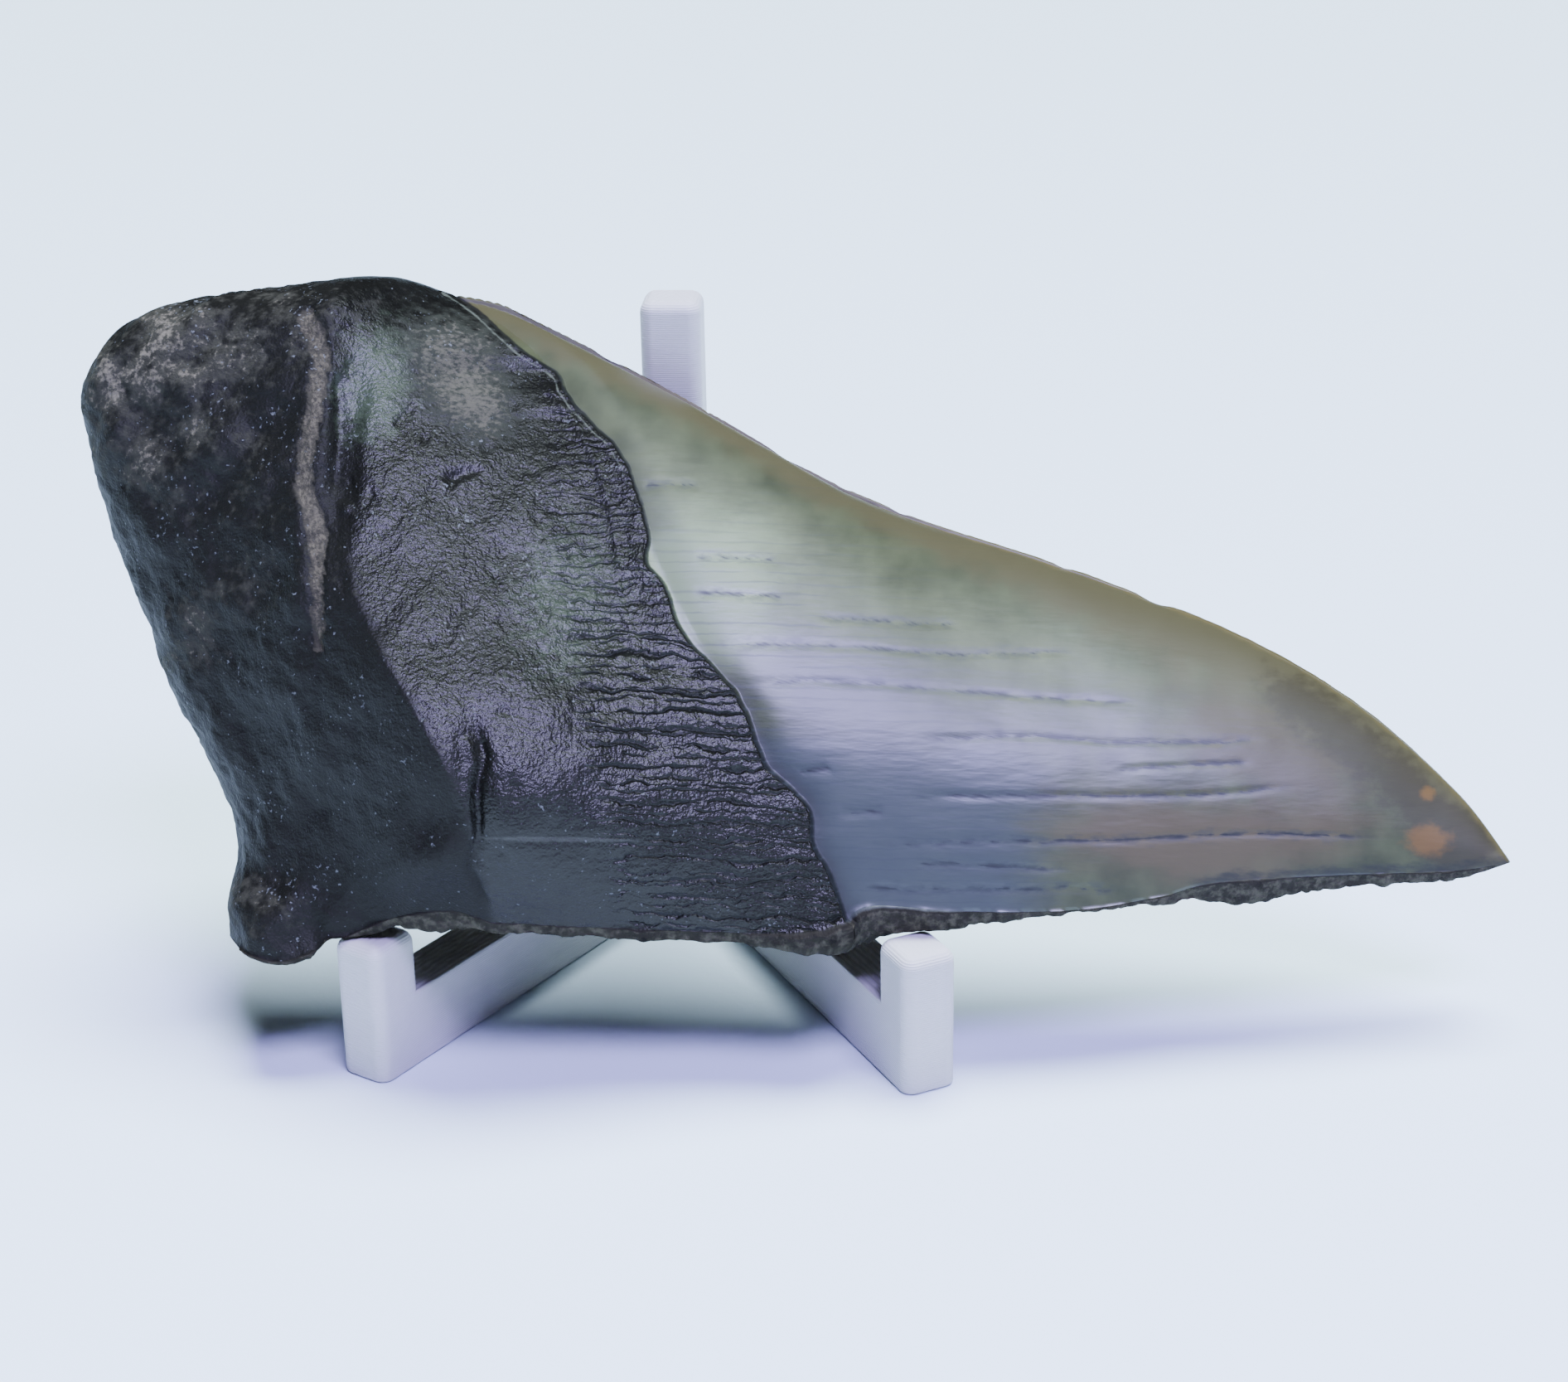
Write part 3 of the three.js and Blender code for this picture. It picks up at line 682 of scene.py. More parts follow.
class FossilTooth:
    """Builds the half tooth's surface, its fine relief and the masks that its finish reads."""

    def __init__(self, shape: ToothShape, stand: PrintedStand) -> None:
        """Keeps the shape and works out where it leans.

        Args:
            shape: the tooth's sizes.
            stand: what it leans on.
        """
        self.shape = shape
        self.stand = stand
        self.tracks = shape.patches()
        bourlette = self.tracks[Zone.CROWN][0]
        self.even_bourlette = [np.polynomial.Polynomial.fit(bourlette.share, heights, 4)
                               for heights in bourlette.line.T]
        self.foot_y = stand.rear_post_front - shape.resting_gap
        self.foot_y -= shape.back_contact_rise * math.tan(shape.lean)
        self.foot_z = stand.front_post_height + shape.resting_gap
        self.front_rows = shape.back_rows * shape.front_rows_per_back_row

    def place_on(self, zone: Zone, u: np.ndarray, v: np.ndarray) -> np.ndarray:
        """Finds places on a zone's patch.

        Args:
            zone: which patch.
            u: shares of the way across it.
            v: shares of the way down it.

        Returns:
            x and t of each place, in the last axis.
        """
        left, right, top, bottom = self.tracks[zone]
        a, b = u[..., None], v[..., None]
        corners = mix(mix(top.line[0], top.line[-1], a), mix(bottom.line[0], bottom.line[-1], a), b)
        ruled_down = mix(top.at(u), bottom.at(u), b)
        ruled_across = mix(left.at(v), right.at(v), a)
        return ruled_down + ruled_across - corners

    def even_place(self, u: np.ndarray, v: np.ndarray) -> np.ndarray:
        """Finds places on the crown's patch as if the bourlette were a quartic without bends."""
        _, tip, top, bottom = self.tracks[Zone.CROWN]
        a, b = u[..., None], v[..., None]
        left = np.stack([bend(v) for bend in self.even_bourlette], axis=-1)
        corners = mix(mix(top.line[0], top.line[-1], a), mix(bottom.line[0], bottom.line[-1], a), b)
        return mix(top.at(u), bottom.at(u), b) + mix(left, tip.at(v), a) - corners

    def even_share(self, u: np.ndarray, v: np.ndarray, x: np.ndarray, t: np.ndarray) -> np.ndarray:
        """Finds the share down the crown that a place has on the patch without bends.

        Three Newton steps go from the shares of the bent patch; the determinant is held away from zero,
        which it reaches at the tip.

        Args:
            u: shares of the way across the crown.
            v: shares of the way down it.
            x: places along the tooth.
            t: places up the tooth.

        Returns:
            The evened shares down the crown.
        """
        step = 0.001
        for _ in range(3):
            here = self.even_place(u, v)
            across = (self.even_place(u + step, v) - here) / step
            down = (self.even_place(u, v + step) - here) / step
            off_x, off_t = x - here[..., 0], t - here[..., 1]
            area = np.minimum(across[..., 0] * down[..., 1] - across[..., 1] * down[..., 0], -200.0)
            u = u + (off_x * down[..., 1] - off_t * down[..., 0]) / area
            v = v + (across[..., 0] * off_t - across[..., 1] * off_x) / area
        return np.clip(v, 0, 1)

    def crown_rise(self, x: np.ndarray, v: np.ndarray) -> np.ndarray:
        """Height of the crown: a lens in section, thickest a fifth of the way up from the break."""
        shape = self.shape
        up = 1 - v
        above = 1 - (np.maximum(up - shape.crown_crest, 0) / (1 - shape.crown_crest)) ** shape.lens_power
        below = 1 - shape.break_fall * (np.maximum(shape.crown_crest - up, 0) / shape.crown_crest) ** 2
        lens = np.where(up > shape.crown_crest, above, below)
        return shape.cutting_edge_height + (shape.crown_height.at(x) - shape.cutting_edge_height) * lens

    def surfaces(self, zone: Zone, u: np.ndarray, v: np.ndarray, x: np.ndarray,
                 t: np.ndarray) -> tuple[np.ndarray, np.ndarray]:
        """Heights of the front and back surfaces, pinched together along the outline by quarter circles.

        The root rises from its base to the crest and falls to the bourlette, which stands over the crown.

        Args:
            zone: which patch.
            u: shares of the way across it.
            v: shares of the way down it.
            x: places along the tooth.
            t: places up the tooth.

        Returns:
            The front heights and the back heights.
        """
        shape = self.shape
        top = self.place_on(zone, u, np.zeros_like(v))
        from_top = np.hypot(x - top[..., 0], t - top[..., 1])
        rounding = mix(shape.root_top_rounding, shape.cutting_edge_rounding, smooth_step(x, -32, -19))
        round_off = self.quarter_round(from_top / rounding)
        if zone is Zone.BASE:
            front = mix(shape.base_height.at(t), shape.crest_height.at(t), self.fall(1 - u))
            rough = mix(shape.base_lumps, shape.face_lumps, smooth_step(u, 0.6, 1))
            edge = self.place_on(zone, np.zeros_like(u), v)
            from_base = np.hypot(x - edge[..., 0], t - edge[..., 1])
            round_off = round_off * self.quarter_round(from_base / shape.base_rounding)
        elif zone is Zone.FACE:
            border = self.tracks[zone][1].at(v)
            down = self.even_share(np.zeros_like(v), v, border[..., 0], border[..., 1])
            lip = self.crown_rise(border[..., 0], down) + shape.bourlette_step.at(v)
            front = mix(lip, shape.crest_height.at(t), self.fall(u))
            rough = shape.face_lumps * (1 - smooth_step(u, 0.8, 1))
        else:
            front = self.crown_rise(x, self.even_share(u, v, x, t))
            rough = np.zeros_like(x)
        if zone is not Zone.CROWN:
            front = front + rough * self.lumps(x, t)
            for hollow in shape.hollows:
                front = front - hollow.depth * spot(x, t, hollow.at, hollow.half, hollow.turn, power=4)
        middle = shape.middle_of_thickness * front
        bulge = shape.back_bulge * np.sin(math.pi * v) * front / shape.crown_height.points[0][1]
        return middle + (front - middle) * round_off, middle - (middle + bulge) * round_off

    @staticmethod
    def quarter_round(share: np.ndarray) -> np.ndarray:
        """Rises from 0 to 1 as a quarter circle does."""
        return np.sqrt(1 - (1 - np.clip(share, 0, 1)) ** 2)

    @staticmethod
    def fall(share: np.ndarray) -> np.ndarray:
        """Falls from 1 to 0, half in a straight line and half with an ease."""
        return 1 - 0.5 * share - 0.5 * smooth_step(share, 0, 1)

    @staticmethod
    def lumps(a: np.ndarray, b: np.ndarray) -> np.ndarray:
        """Crossed ripples 6 to 11 mm long: three sines, two of them bent by another sine."""
        bent = 0.5 * np.sin(0.58 * a + 1.4 * np.sin(0.47 * b)) + 0.3 * np.sin(0.95 * b + 1.1 * np.sin(0.7 * a))
        return bent + 0.2 * np.sin(1.05 * a - 0.8 * b)

    def columns(self) -> list[tuple[Zone, np.ndarray]]:
        """Gives each zone's column places, crowded towards its left border by a power."""
        shape = self.shape
        counts = (shape.base_columns, shape.face_columns, shape.crown_columns)
        starts = (0.0, 0.0, shape.step_width)
        spread = []
        for zone, count, start, power in zip(Zone, counts, starts, shape.crowding):
            u = mix(start, 1.0, (np.arange(count) / count) ** power)
            if zone is Zone.FACE:
                u = np.append(u, 1.0)
            spread.append((zone, u))
        return spread

    @staticmethod
    def row_spread(k: np.ndarray) -> np.ndarray:
        """Spreads rows a little closer at the top: three quarters even, one quarter squared."""
        return 0.75 * k + 0.25 * k * k

    def edge_shift(self, zone: Zone, u: np.ndarray, v: np.ndarray, x: np.ndarray) -> np.ndarray:
        """How far the cutting edge is cut back: rounded serrations, worn away towards the tip, and chips."""
        shape = self.shape
        if zone is not Zone.CROWN:
            return np.zeros_like(x)
        length = u * self.tracks[zone][2].lengths[-1]
        worn = 1 - 0.8 * smooth_step(x, -2, 12)
        uneven = 0.7 + 0.5 * gradient_noise(length / 3.1, np.zeros_like(length), 5)
        cut = shape.serration_depth * worn * uneven * np.sin(math.pi * length / shape.serration_pitch) ** 4
        cut = cut + 0.1 * layered_noise(length, np.zeros_like(length), 2.6, 3, 9)
        for along, half, depth in shape.edge_chips:
            cut = cut + depth * np.exp(-((x - along) / half) ** 2)
        return cut * np.exp(-v / shape.chip_reach)

    def grid(self) -> ToothGrid:
        """Lays out the whole tooth, before its fine relief.

        Returns:
            The grid's arrays of columns by rows.
        """
        shape = self.shape
        down = self.row_spread(np.arange(self.front_rows + 1) / self.front_rows)
        upward = self.row_spread(np.arange(shape.back_rows, 0, -1) / shape.back_rows)
        level_rows = shape.break_rows - shape.brow_rows
        down_brow = np.minimum(np.arange(1, shape.break_rows + 1) / shape.brow_rows, 1)[None]
        across = np.maximum(np.arange(1 - shape.brow_rows, level_rows + 1) / (level_rows + 1), 0)[None]
        blocks = []
        for zone, columns in self.columns():
            u, v = np.broadcast_arrays(columns[:, None], down[None])
            place = self.place_on(zone, u, v)
            x, t = place[..., 0], place[..., 1]
            front, _ = self.surfaces(zone, u, v, x, t)
            t_front = t - self.edge_shift(zone, u, v, x)
            foot_x, foot_t = x[:, -1:], t[:, -1:]
            _, foot_back = self.surfaces(zone, u[:, -1:], v[:, -1:], foot_x, foot_t)
            foot_front = front[:, -1:]
            drop = np.minimum(shape.break_drop.at(foot_x), shape.drop_limit * foot_front)
            brow = foot_front - shape.brow_slope * drop
            n_break = mix(foot_front, brow, down_brow) + (foot_back - brow) * across
            tilt = math.tan(shape.break_tilt)
            t_break = foot_t - drop * down_brow + (brow - foot_back) * across * tilt
            back_foot_t = foot_t - drop + (brow - foot_back) * tilt
            ub, vb = np.broadcast_arrays(columns[:, None], upward[None])
            back_place = self.place_on(zone, ub, vb)
            xb, tb = back_place[..., 0], back_place[..., 1]
            _, back = self.surfaces(zone, ub, vb, xb, tb)
            t_back = tb - self.edge_shift(zone, ub, vb, xb) + (back_foot_t - foot_t) * vb ** 2
            x_break = np.broadcast_to(foot_x, n_break.shape)
            zones = np.full((len(columns), 1), zone.value) + np.zeros((1, self.rows))
            blocks.append((np.hstack([x, x_break, xb]), np.hstack([t_front, t_break, t_back]),
                           np.hstack([front, n_break, back]), zones))
        x, t, n, zones = [np.vstack(parts) for parts in zip(*blocks)]
        row = np.arange(self.rows)[None] + np.zeros((len(x), 1))
        broken = (row > self.front_rows) & (row < self.first_back)
        return ToothGrid(x, t, n, zones, row <= self.front_rows, row >= self.first_back, broken)

    @property
    def first_back(self) -> int:
        """The first row of the back."""
        return self.front_rows + 1 + self.shape.break_rows

    @property
    def rows(self) -> int:
        """The number of rows round a column."""
        return self.first_back + self.shape.back_rows

    def to_part(self, x: np.ndarray, t: np.ndarray, n: np.ndarray) -> np.ndarray:
        """Leans places of the tooth back and sets them down on the stand, in the part's millimetres."""
        lean = self.shape.lean
        y = self.foot_y - n * math.cos(lean) + t * math.sin(lean)
        z = self.foot_z + n * math.sin(lean) + t * math.cos(lean)
        return np.stack([x, y, z], axis=-1) + self.stand.origin

    def normals(self, places: np.ndarray) -> np.ndarray:
        """Outward directions: the cross product of the steps round the loop and along the tooth."""
        along = np.gradient(places, axis=0)
        around = np.roll(places, -1, axis=1) - np.roll(places, 1, axis=1)
        normal = np.cross(around, along)
        length = np.linalg.norm(normal, axis=-1, keepdims=True)
        return normal / np.maximum(length, 1e-6)

    def keep_clear(self, places: np.ndarray) -> np.ndarray:
        """Holds the tooth off its stand: over a low post it is lifted above the post's top, with a ramp
        all round, and in front of the tall post it stays in front of the post's face."""
        stand, margin, ramp = self.stand, 0.45, 1.6
        local = places - stand.origin
        x, y = local[..., 0], local[..., 1]
        outward = np.abs(x) * math.sin(stand.arm_spread) - y * math.cos(stand.arm_spread)
        aside = np.abs(np.abs(x) * math.cos(stand.arm_spread) + y * math.sin(stand.arm_spread))
        middle = stand.arm_reach - stand.front_post_depth / 2
        beside = np.maximum(aside - stand.bar_width / 2, np.abs(outward - middle) - stand.front_post_depth / 2)
        top = stand.front_post_height + self.shape.resting_gap
        floor = top - ramp * np.maximum(beside - margin, 0)
        local[..., 2] = np.where(beside < 4 * margin, np.maximum(local[..., 2], floor), local[..., 2])
        wide = stand.rear_post_side / 2 + 1.6
        before = (np.abs(x) < wide) & (local[..., 2] < stand.rear_post_height + 1.6)
        wall = np.where(before, stand.rear_post_front - self.shape.resting_gap / 2, np.inf)
        local[..., 1] = np.minimum(y, wall)
        return local + stand.origin

    def build(self) -> bpy.types.Object:
        """Builds the tooth and dresses it.

        Returns:
            The finished tooth, riding on the body and standing for its CAD node.
        """
        grid = self.grid()
        Weathering(self).carve(grid)
        places = self.to_part(grid.x, grid.t, grid.n)
        push = self.normals(places) * grid.relief[..., None]
        matching = self.front_rows - np.arange(self.shape.back_rows) * self.shape.front_rows_per_back_row
        push[0, self.front_rows:self.first_back] = push[0, self.front_rows]
        push[0, self.first_back:] = push[0, matching]
        places = self.keep_clear(places + push)
        mesh = self.mesh(grid, places)
        mesh.materials.append(FossilFinish().material())
        piece = bpy.data.objects.new("fossil_half_tooth", mesh)
        bpy.context.scene.collection.objects.link(piece)
        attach(piece, BODY)
        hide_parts("tooth")
        return piece

    def mesh(self, grid: ToothGrid, places: np.ndarray) -> bpy.types.Mesh:
        """Puts the grid into one closed mesh.

        Neighbouring columns are joined by a strip of quads. On the root's base the front and the back
        share one edge, so there the back's first strip starts from the front's rows. The last column
        closes on the tip.

        Args:
            grid: what the masks are taken from.
            places: where each point is, in the part's millimetres.

        Returns:
            The mesh in metres, with the masks as its attributes.
        """
        columns, rows = grid.x.shape
        index = np.arange(columns * rows).reshape(columns, rows)
        ahead = np.roll(index, -1, axis=1)
        quads = np.stack([index[:-1], ahead[:-1], ahead[1:], index[1:]], axis=-1)
        first_strip, others = quads[0, :self.first_back], quads[1:].reshape(-1, 4)
        per_row = self.shape.front_rows_per_back_row
        starts = self.front_rows - np.arange(self.shape.back_rows) * per_row
        shared = index[0][starts[:, None] - np.arange(per_row + 1)]
        seam = np.hstack([shared, ahead[1, self.first_back:, None], index[1, self.first_back:, None]])
        tip_index = columns * rows
        fan = np.stack([index[-1], ahead[-1], np.full(rows, tip_index)], axis=-1)
        faces = others.tolist() + first_strip.tolist() + seam.tolist() + fan.tolist()
        tip_height = self.shape.middle_of_thickness * self.shape.cutting_edge_height
        tip = self.to_part(np.float64(self.shape.tip[0]), np.float64(self.shape.tip[1]), np.float64(tip_height))
        every = np.vstack([places.reshape(-1, 3), tip[None]]) * MM
        mesh = bpy.data.meshes.new("fossil_half_tooth")
        mesh.from_pydata(every.tolist(), [], faces)
        for name, values in grid.masks.items():
            whole = np.append(values.ravel(), values[-1, 0]).astype(np.float32)
            mesh.attributes.new(name, "FLOAT", "POINT").data.foreach_set("value", whole)
        own = np.stack([grid.x, grid.t, grid.n], axis=-1).reshape(-1, 3)
        own = np.vstack([own, (*self.shape.tip, tip_height)]).astype(np.float32)
        mesh.attributes.new("own_place", "FLOAT_VECTOR", "POINT").data.foreach_set("vector", own.ravel())
        welded = bmesh.new()
        welded.from_mesh(mesh)
        bmesh.ops.remove_doubles(welded, verts=welded.verts, dist=0.0005 * MM)
        welded.to_mesh(mesh)
        welded.free()
        mesh.shade_smooth()
        return mesh


class Weathering:
    """The tooth's fine relief and the masks of its colours, worked out on the whole grid at once."""

    STREAKS: tuple[Points, ...] = (
        ((-1.1, 32.9), (3.8, 33.1)),
        ((3.7, 26.6), (11, 26.4)),
        ((3.8, 23.4), (11.8, 23.2)),
        ((14.3, 21.5), (26.7, 21.1)),
        ((5.2, 18.9), (14.1, 19.1), (26.8, 18.5), (36.9, 19.1)),
        ((7.9, 15.4), (14.1, 16), (26.8, 15.4), (30.8, 15.1), (35.1, 14.9), (42.7, 14.7)),
        ((22.7, 11.1), (33.3, 11.6), (39.8, 11.2), (49.2, 11.4), (53.2, 11.9)),
        ((39.8, 8.8), (52.1, 9.8)),
        ((13.2, 8.1), (15.9, 8.6)),
        ((16.5, 4.7), (20.5, 4.9)),
        ((22.7, 6.2), (35.2, 6.5), (47.8, 6.8), (55.8, 7.8)),
        ((19.7, 2.1), (32, 2.6), (39.9, 2.8), (51.5, 3.6), (63.4, 3.5)),
        ((22.8, 0.6), (36.4, 0.3)),
        ((18.4, -1.6), (27, -1.6), (35.7, -1.3), (40.7, -1.6)),
    )
    WRINKLE_START: Points = (
        (-11.5, 44), (-10.5, 40.6), (-9.5, 31.6), (-8.6, 24.1), (-6, 17), (-5.1, 12.7), (-3.5, 6.5),
        (-2.3, -0.4), (-1.9, -6),
    )
    INNER_LINE: Points = (
        (-10.5, 42.5), (-8.9, 40.5), (-6.7, 37.6), (-4.8, 34.2), (-3.5, 30.4), (-2.7, 26.8), (-2.3, 22.1),
        (-1, 19.4), (0.1, 16.4),
    )
    SCUFF: Points = (
        (-30.1, 47), (-28.5, 43.3), (-28.6, 40.3), (-28.8, 37.3), (-29.3, 33.8), (-29.3, 32), (-27.7, 28.2),
        (-27.6, 25.3), (-27.2, 20.9), (-27.1, 18),
    )
    MARKS: tuple[Mark, ...] = (
        Mark(((-26.9, 42), (-26.4, 36.1), (-26.5, 31)), 0.5, 0.5),
        Mark(((-12.9, 11.1), (-12.3, 8.9), (-12.8, 6.6), (-12.8, 1.9), (-13.7, -0.4), (-12.5, -4.6)), 0.3, 0.5),
        Mark(((-13.8, 10.6), (-13.3, 8.4), (-13.8, 5.6), (-13.6, 2.4)), 0.35, -0.3),
        Mark(((-12.9, 1.9), (-5, 2.1), (1.4, 2.3)), 0.16, 0.12),
        Mark(((-17.6, 32.6), (-14.6, 33.7)), 0.3, 0.3),
    )
    DARK_BAND: Points = ((50, 18.5), (53.5, 16.6), (58.5, 13.4), (62.7, 10), (66.5, 6.6), (69.5, 3.2))

    def __init__(self, tooth: FossilTooth) -> None:
        """Keeps the tooth whose grid is worked on."""
        self.tooth = tooth

    def carve(self, grid: ToothGrid) -> None:
        """Fills in the grid's relief, in millimetres outwards, and its masks, from 0 to 1."""
        x, t, n = grid.x, grid.t, grid.n
        leaning = 1 - smooth_step(x, -22, -14)
        a, b = x + 0.6 * n * leaning, t + 0.8 * n * leaning + 60.0 * grid.back
        shape = self.tooth.shape
        bourlette, _, cut_edge, crown_foot = self.tooth.tracks[Zone.CROWN]
        root = grid.zone < Zone.CROWN.value
        border = bourlette.line[::20]
        bourlette_mm = line_distance(x, t, border)[0] * np.where(root, -1.0, 1.0)
        behind = line_distance(x, t, border - (5.0, 0.0))[1]
        enamel_mm = np.where(grid.back, behind, bourlette_mm)
        enamel = smooth_step(enamel_mm, -0.1, 0.1)
        edge_mm = line_distance(x, t, cut_edge.line[::40])[0]
        foot_mm = line_distance(x, t, crown_foot.line[::60])[0]
        front = grid.front.astype(float)
        broken = grid.broken.astype(float)
        on_root = front * root
        crest_mm = line_distance(x, t, shape.crest)[1]
        dark_slope = on_root * smooth_step(-crest_mm, -1.5, 1.5)

        wrinkle = on_root * self.wrinkles(x, t)
        waves = layered_noise(x / 3, t, 1.9, 2, 57)
        scuff_mm, _, scuff_along = line_distance(x, t, self.SCUFF)
        scuff_width = 0.85 + 0.55 * layered_noise(x * 0.6, t, 1.6, 3, 31) - 0.4 * smooth_step(scuff_along, 0.6, 1)
        scuff = on_root * (1 - smooth_step(scuff_mm, scuff_width - 0.2, scuff_width + 0.2))

        coarse = mix(0.05, 0.16, smooth_step(-crest_mm, -1, 4))
        relief = on_root * (coarse * layered_noise(a, b, 3.4, 2, 11) + 0.05 * layered_noise(a, b, 1.2, 2, 13))
        rough_base = smooth_step(-crest_mm, -2, 6) * on_root
        relief += rough_base * 0.22 * layered_noise(a, b, 1.9, 3, 17)
        relief *= 1 - 0.75 * wrinkle
        relief += wrinkle * 0.16 * waves
        relief -= scuff * (0.35 + 0.18 * layered_noise(a, b, 0.8, 2, 19))
        for mark in self.MARKS:
            distance, _, along = line_distance(x, t, mark.points)
            taper = smooth_step(np.minimum(along, 1 - along), -0.02, 0.12)
            relief -= on_root * mark.depth * taper * np.exp(-(distance / mark.half_width) ** 2)
        relief += on_root * 0.4 * spot(x, t, (-25.4, 29.8), (0.55, 0.5))
        pits = smooth_step(layered_noise(a, b, 1.5, 1, 23), 0.45, 0.75)
        relief -= on_root * (1 - wrinkle) * (1 - scuff) * 0.14 * pits
        relief += (1 - front) * (1 - broken) * (1 - enamel) * 0.3 * layered_noise(a, b, 2.2, 3, 29)

        streak_mm, streak_strength = self.streaks(x, t)
        on_crown = enamel * (1 - broken)
        streak_line = np.exp(-(streak_mm / 0.3) ** 2) * streak_strength
        relief += on_crown * (0.05 * layered_noise(x, t, 7, 2, 37) - 0.06 * streak_line)
        lower = smooth_step(-t, -22, -10)
        relief -= front * enamel * lower * 0.25 * np.exp(-(enamel_mm / 1.6) ** 2)
        inner_mm = line_distance(x, t, self.INNER_LINE)[0]
        relief += on_root * 0.12 * np.exp(-(inner_mm / 0.3) ** 2)

        away = smooth_step(np.abs(x - shape.tip[0]), 0.5, 6) * smooth_step(x, -38, -35)
        c, d = x + 0.3 * t, n - t
        crumbs = 0.5 * layered_noise(c, d, 3.4, 3, 41) + 0.4 * np.abs(layered_noise(c, d, 1.6, 2, 43))
        crumbs += 0.9 * spot(x, n, (15.5, 13), (4, 5)) + 0.4 * spot(x, n, (23, 11), (3, 5))
        relief += broken * away * crumbs
        near_tip = smooth_step(shape.tip[0] - x, 0, 4)
        grid.relief = relief * near_tip

        blocks = smooth_step(layered_noise(x, t, 4.5, 3, 47), -0.25, 0.35)
        weathered = spot(x, t, (-46, 38), (7, 14), 70) + 0.9 * spot(x, t, (-38, 46), (12, 4.5), 5)
        weathered += 0.8 * spot(x, t, (-44, 18), (4, 14), 112) + 0.9 * spot(x, t, (-35, -5), (5, 4))
        top_patch = spot(x, t, (-18, 44), (6, 5), -35) + 0.7 * spot(x, t, (-15, 38.5), (4, 3), -25)
        olive_reach = 3.4 + 4.2 * np.exp(-((x - 46) / 16) ** 2)
        tan = spot(x, t, (46, 3), (14, 4.6), -4) + 0.4 * spot(x, t, (60, 5), (7, 3))
        ochre = spot(x, t, (53, 11), (12, 5), -28)
        band_mm, _, band_along = line_distance(x, t, self.DARK_BAND)
        lilac = smooth_step(-t, -15, -8) * (1 - smooth_step(x, 26, 42))
        orange = 1.2 * spot(x, t, (67.4, 3.3), (2.5, 1.6)) + 1.1 * spot(x, t, (67.5, 7.4), (0.9, 0.8))
        foot_stain = np.exp(-(foot_mm / 1.1) ** 2) * smooth_step(x, 40, 50)
        grid.masks = {
            "enamel": enamel_mm,
            "broken": np.maximum(broken, 0),
            # painted shadow: a near-black line along the step where the bourlette stands over the enamel
            "lip_step_shadow": front * np.exp(-((enamel_mm - 0.05) / 0.26) ** 2),
            "lip_shade": front * enamel * np.exp(-np.abs(enamel_mm) / 1.5) * (0.35 + 0.65 * lower),
            # painted highlight: a pale line on the root side of the bourlette's step, in its upper part, where the
            # edge catches the light
            "lip_rim_highlight": 0.7 * on_root * np.exp(-((enamel_mm + 0.4) / 0.16) ** 2) * (1 - lower),
            "edge_band": np.clip(1.25 - edge_mm / olive_reach, 0, 1),
            "edge_rim": np.exp(-(edge_mm / 0.7) ** 2) * smooth_step(x, -14, 0),
            # partly the enamel's own paler patch, partly a painted sheen of the light on it
            "pale": (spot(x, t, (4, 24), (7, 8), -35) + 0.2 * spot(x, t, (12, 17.5), (8, 3.5), -18)) * enamel,
            "smoky": 0.9 * spot(x, t, (17, 15), (9, 5), -15) + 0.5 * spot(x, t, (33, 10), (16, 7), -12),
            "hairline": front * enamel * (0.6 * spot(x, t, (11, 20), (14, 9), -25) + 0.35 * lilac),
            "lilac": lilac,
            "tan": tan,
            "ochre": ochre,
            "dark_band": np.exp(-(band_mm / 3.0) ** 2) * smooth_step(band_along, -0.02, 0.3)
            + 0.7 * spot(x, t, (71.5, 3.6), (4, 2.4)),
            "orange": orange,
            "chip": front * np.exp(-((x - 10.2) / 0.5) ** 2 - (edge_mm / 0.55) ** 2),
            "foot_stain": foot_stain,
            "streak": streak_mm,
            "streak_strength": streak_strength,
            "wrinkled": wrinkle,
            "weathered": on_root * weathered * (0.4 + 0.6 * blocks),
            "grey_top": on_root * top_patch,
            # partly the root's grey-green colour, partly a painted greenish sheen where the light glances off it
            "green": on_root * (0.7 * spot(x, t, (-6, 22), (6, 9), 20) + spot(x, t, (-24, 41), (3.4, 5.5), 0)),
            "scuff": scuff,
            "slope": dark_slope,
            "scratch": on_root * np.exp(-(line_distance(x, t, self.MARKS[3].points)[0] / 0.22) ** 2),
        }

    def wrinkles(self, x: np.ndarray, t: np.ndarray) -> np.ndarray:
        """How strong the creases across the bourlette are: they deepen towards the break."""
        start_mm = line_distance(x, t, self.WRINKLE_START)[1]
        return smooth_step(start_mm, -0.8, 2.2) * (0.35 + 0.65 * smooth_step(-t, -26, -12))

    def streaks(self, x: np.ndarray, t: np.ndarray) -> tuple[np.ndarray, np.ndarray]:
        """The dark hairlines along the crown.

        Args:
            x: places along the tooth.
            t: places up the tooth.

        Returns:
            Distance to the nearest one's middle, and how strong it is there.
        """
        waver = t + 0.16 * layered_noise(x, t * 0.2, 3.5, 3, 61)
        nearest = np.full(x.shape, 9.0)
        strength = np.zeros(x.shape)
        for streak in self.STREAKS:
            distance, _, along = line_distance(x, waver, streak)
            nearer = distance < nearest
            nearest = np.where(nearer, distance, nearest)
            ends = smooth_step(np.minimum(along, 1 - along), -0.01, 0.12)
            strength = np.where(nearer, ends, strength)
        return nearest, strength


@dataclass(frozen=True)
class StainOrPaintedLight:
    """A colour laid over the ones below it, where a mask and a noise together are high enough.

    The noise's cells are patch_mm wide, or as wide along each axis as the three sizes given. spread says
    how much the noise moves the layer's edge, and low and high are where it starts and is full. Most layers
    are the tooth's own stains; a few are painted shade, shadow, highlight or sheen.
    """

    colour: str
    mask: str
    patch_mm: tuple[float, float, float] = (1.0, 1.0, 1.0)
    spread: float = 0.0
    low: float = 0.0
    high: float = 1.0
    strength: float = 1.0
    roughness: float = 0.4


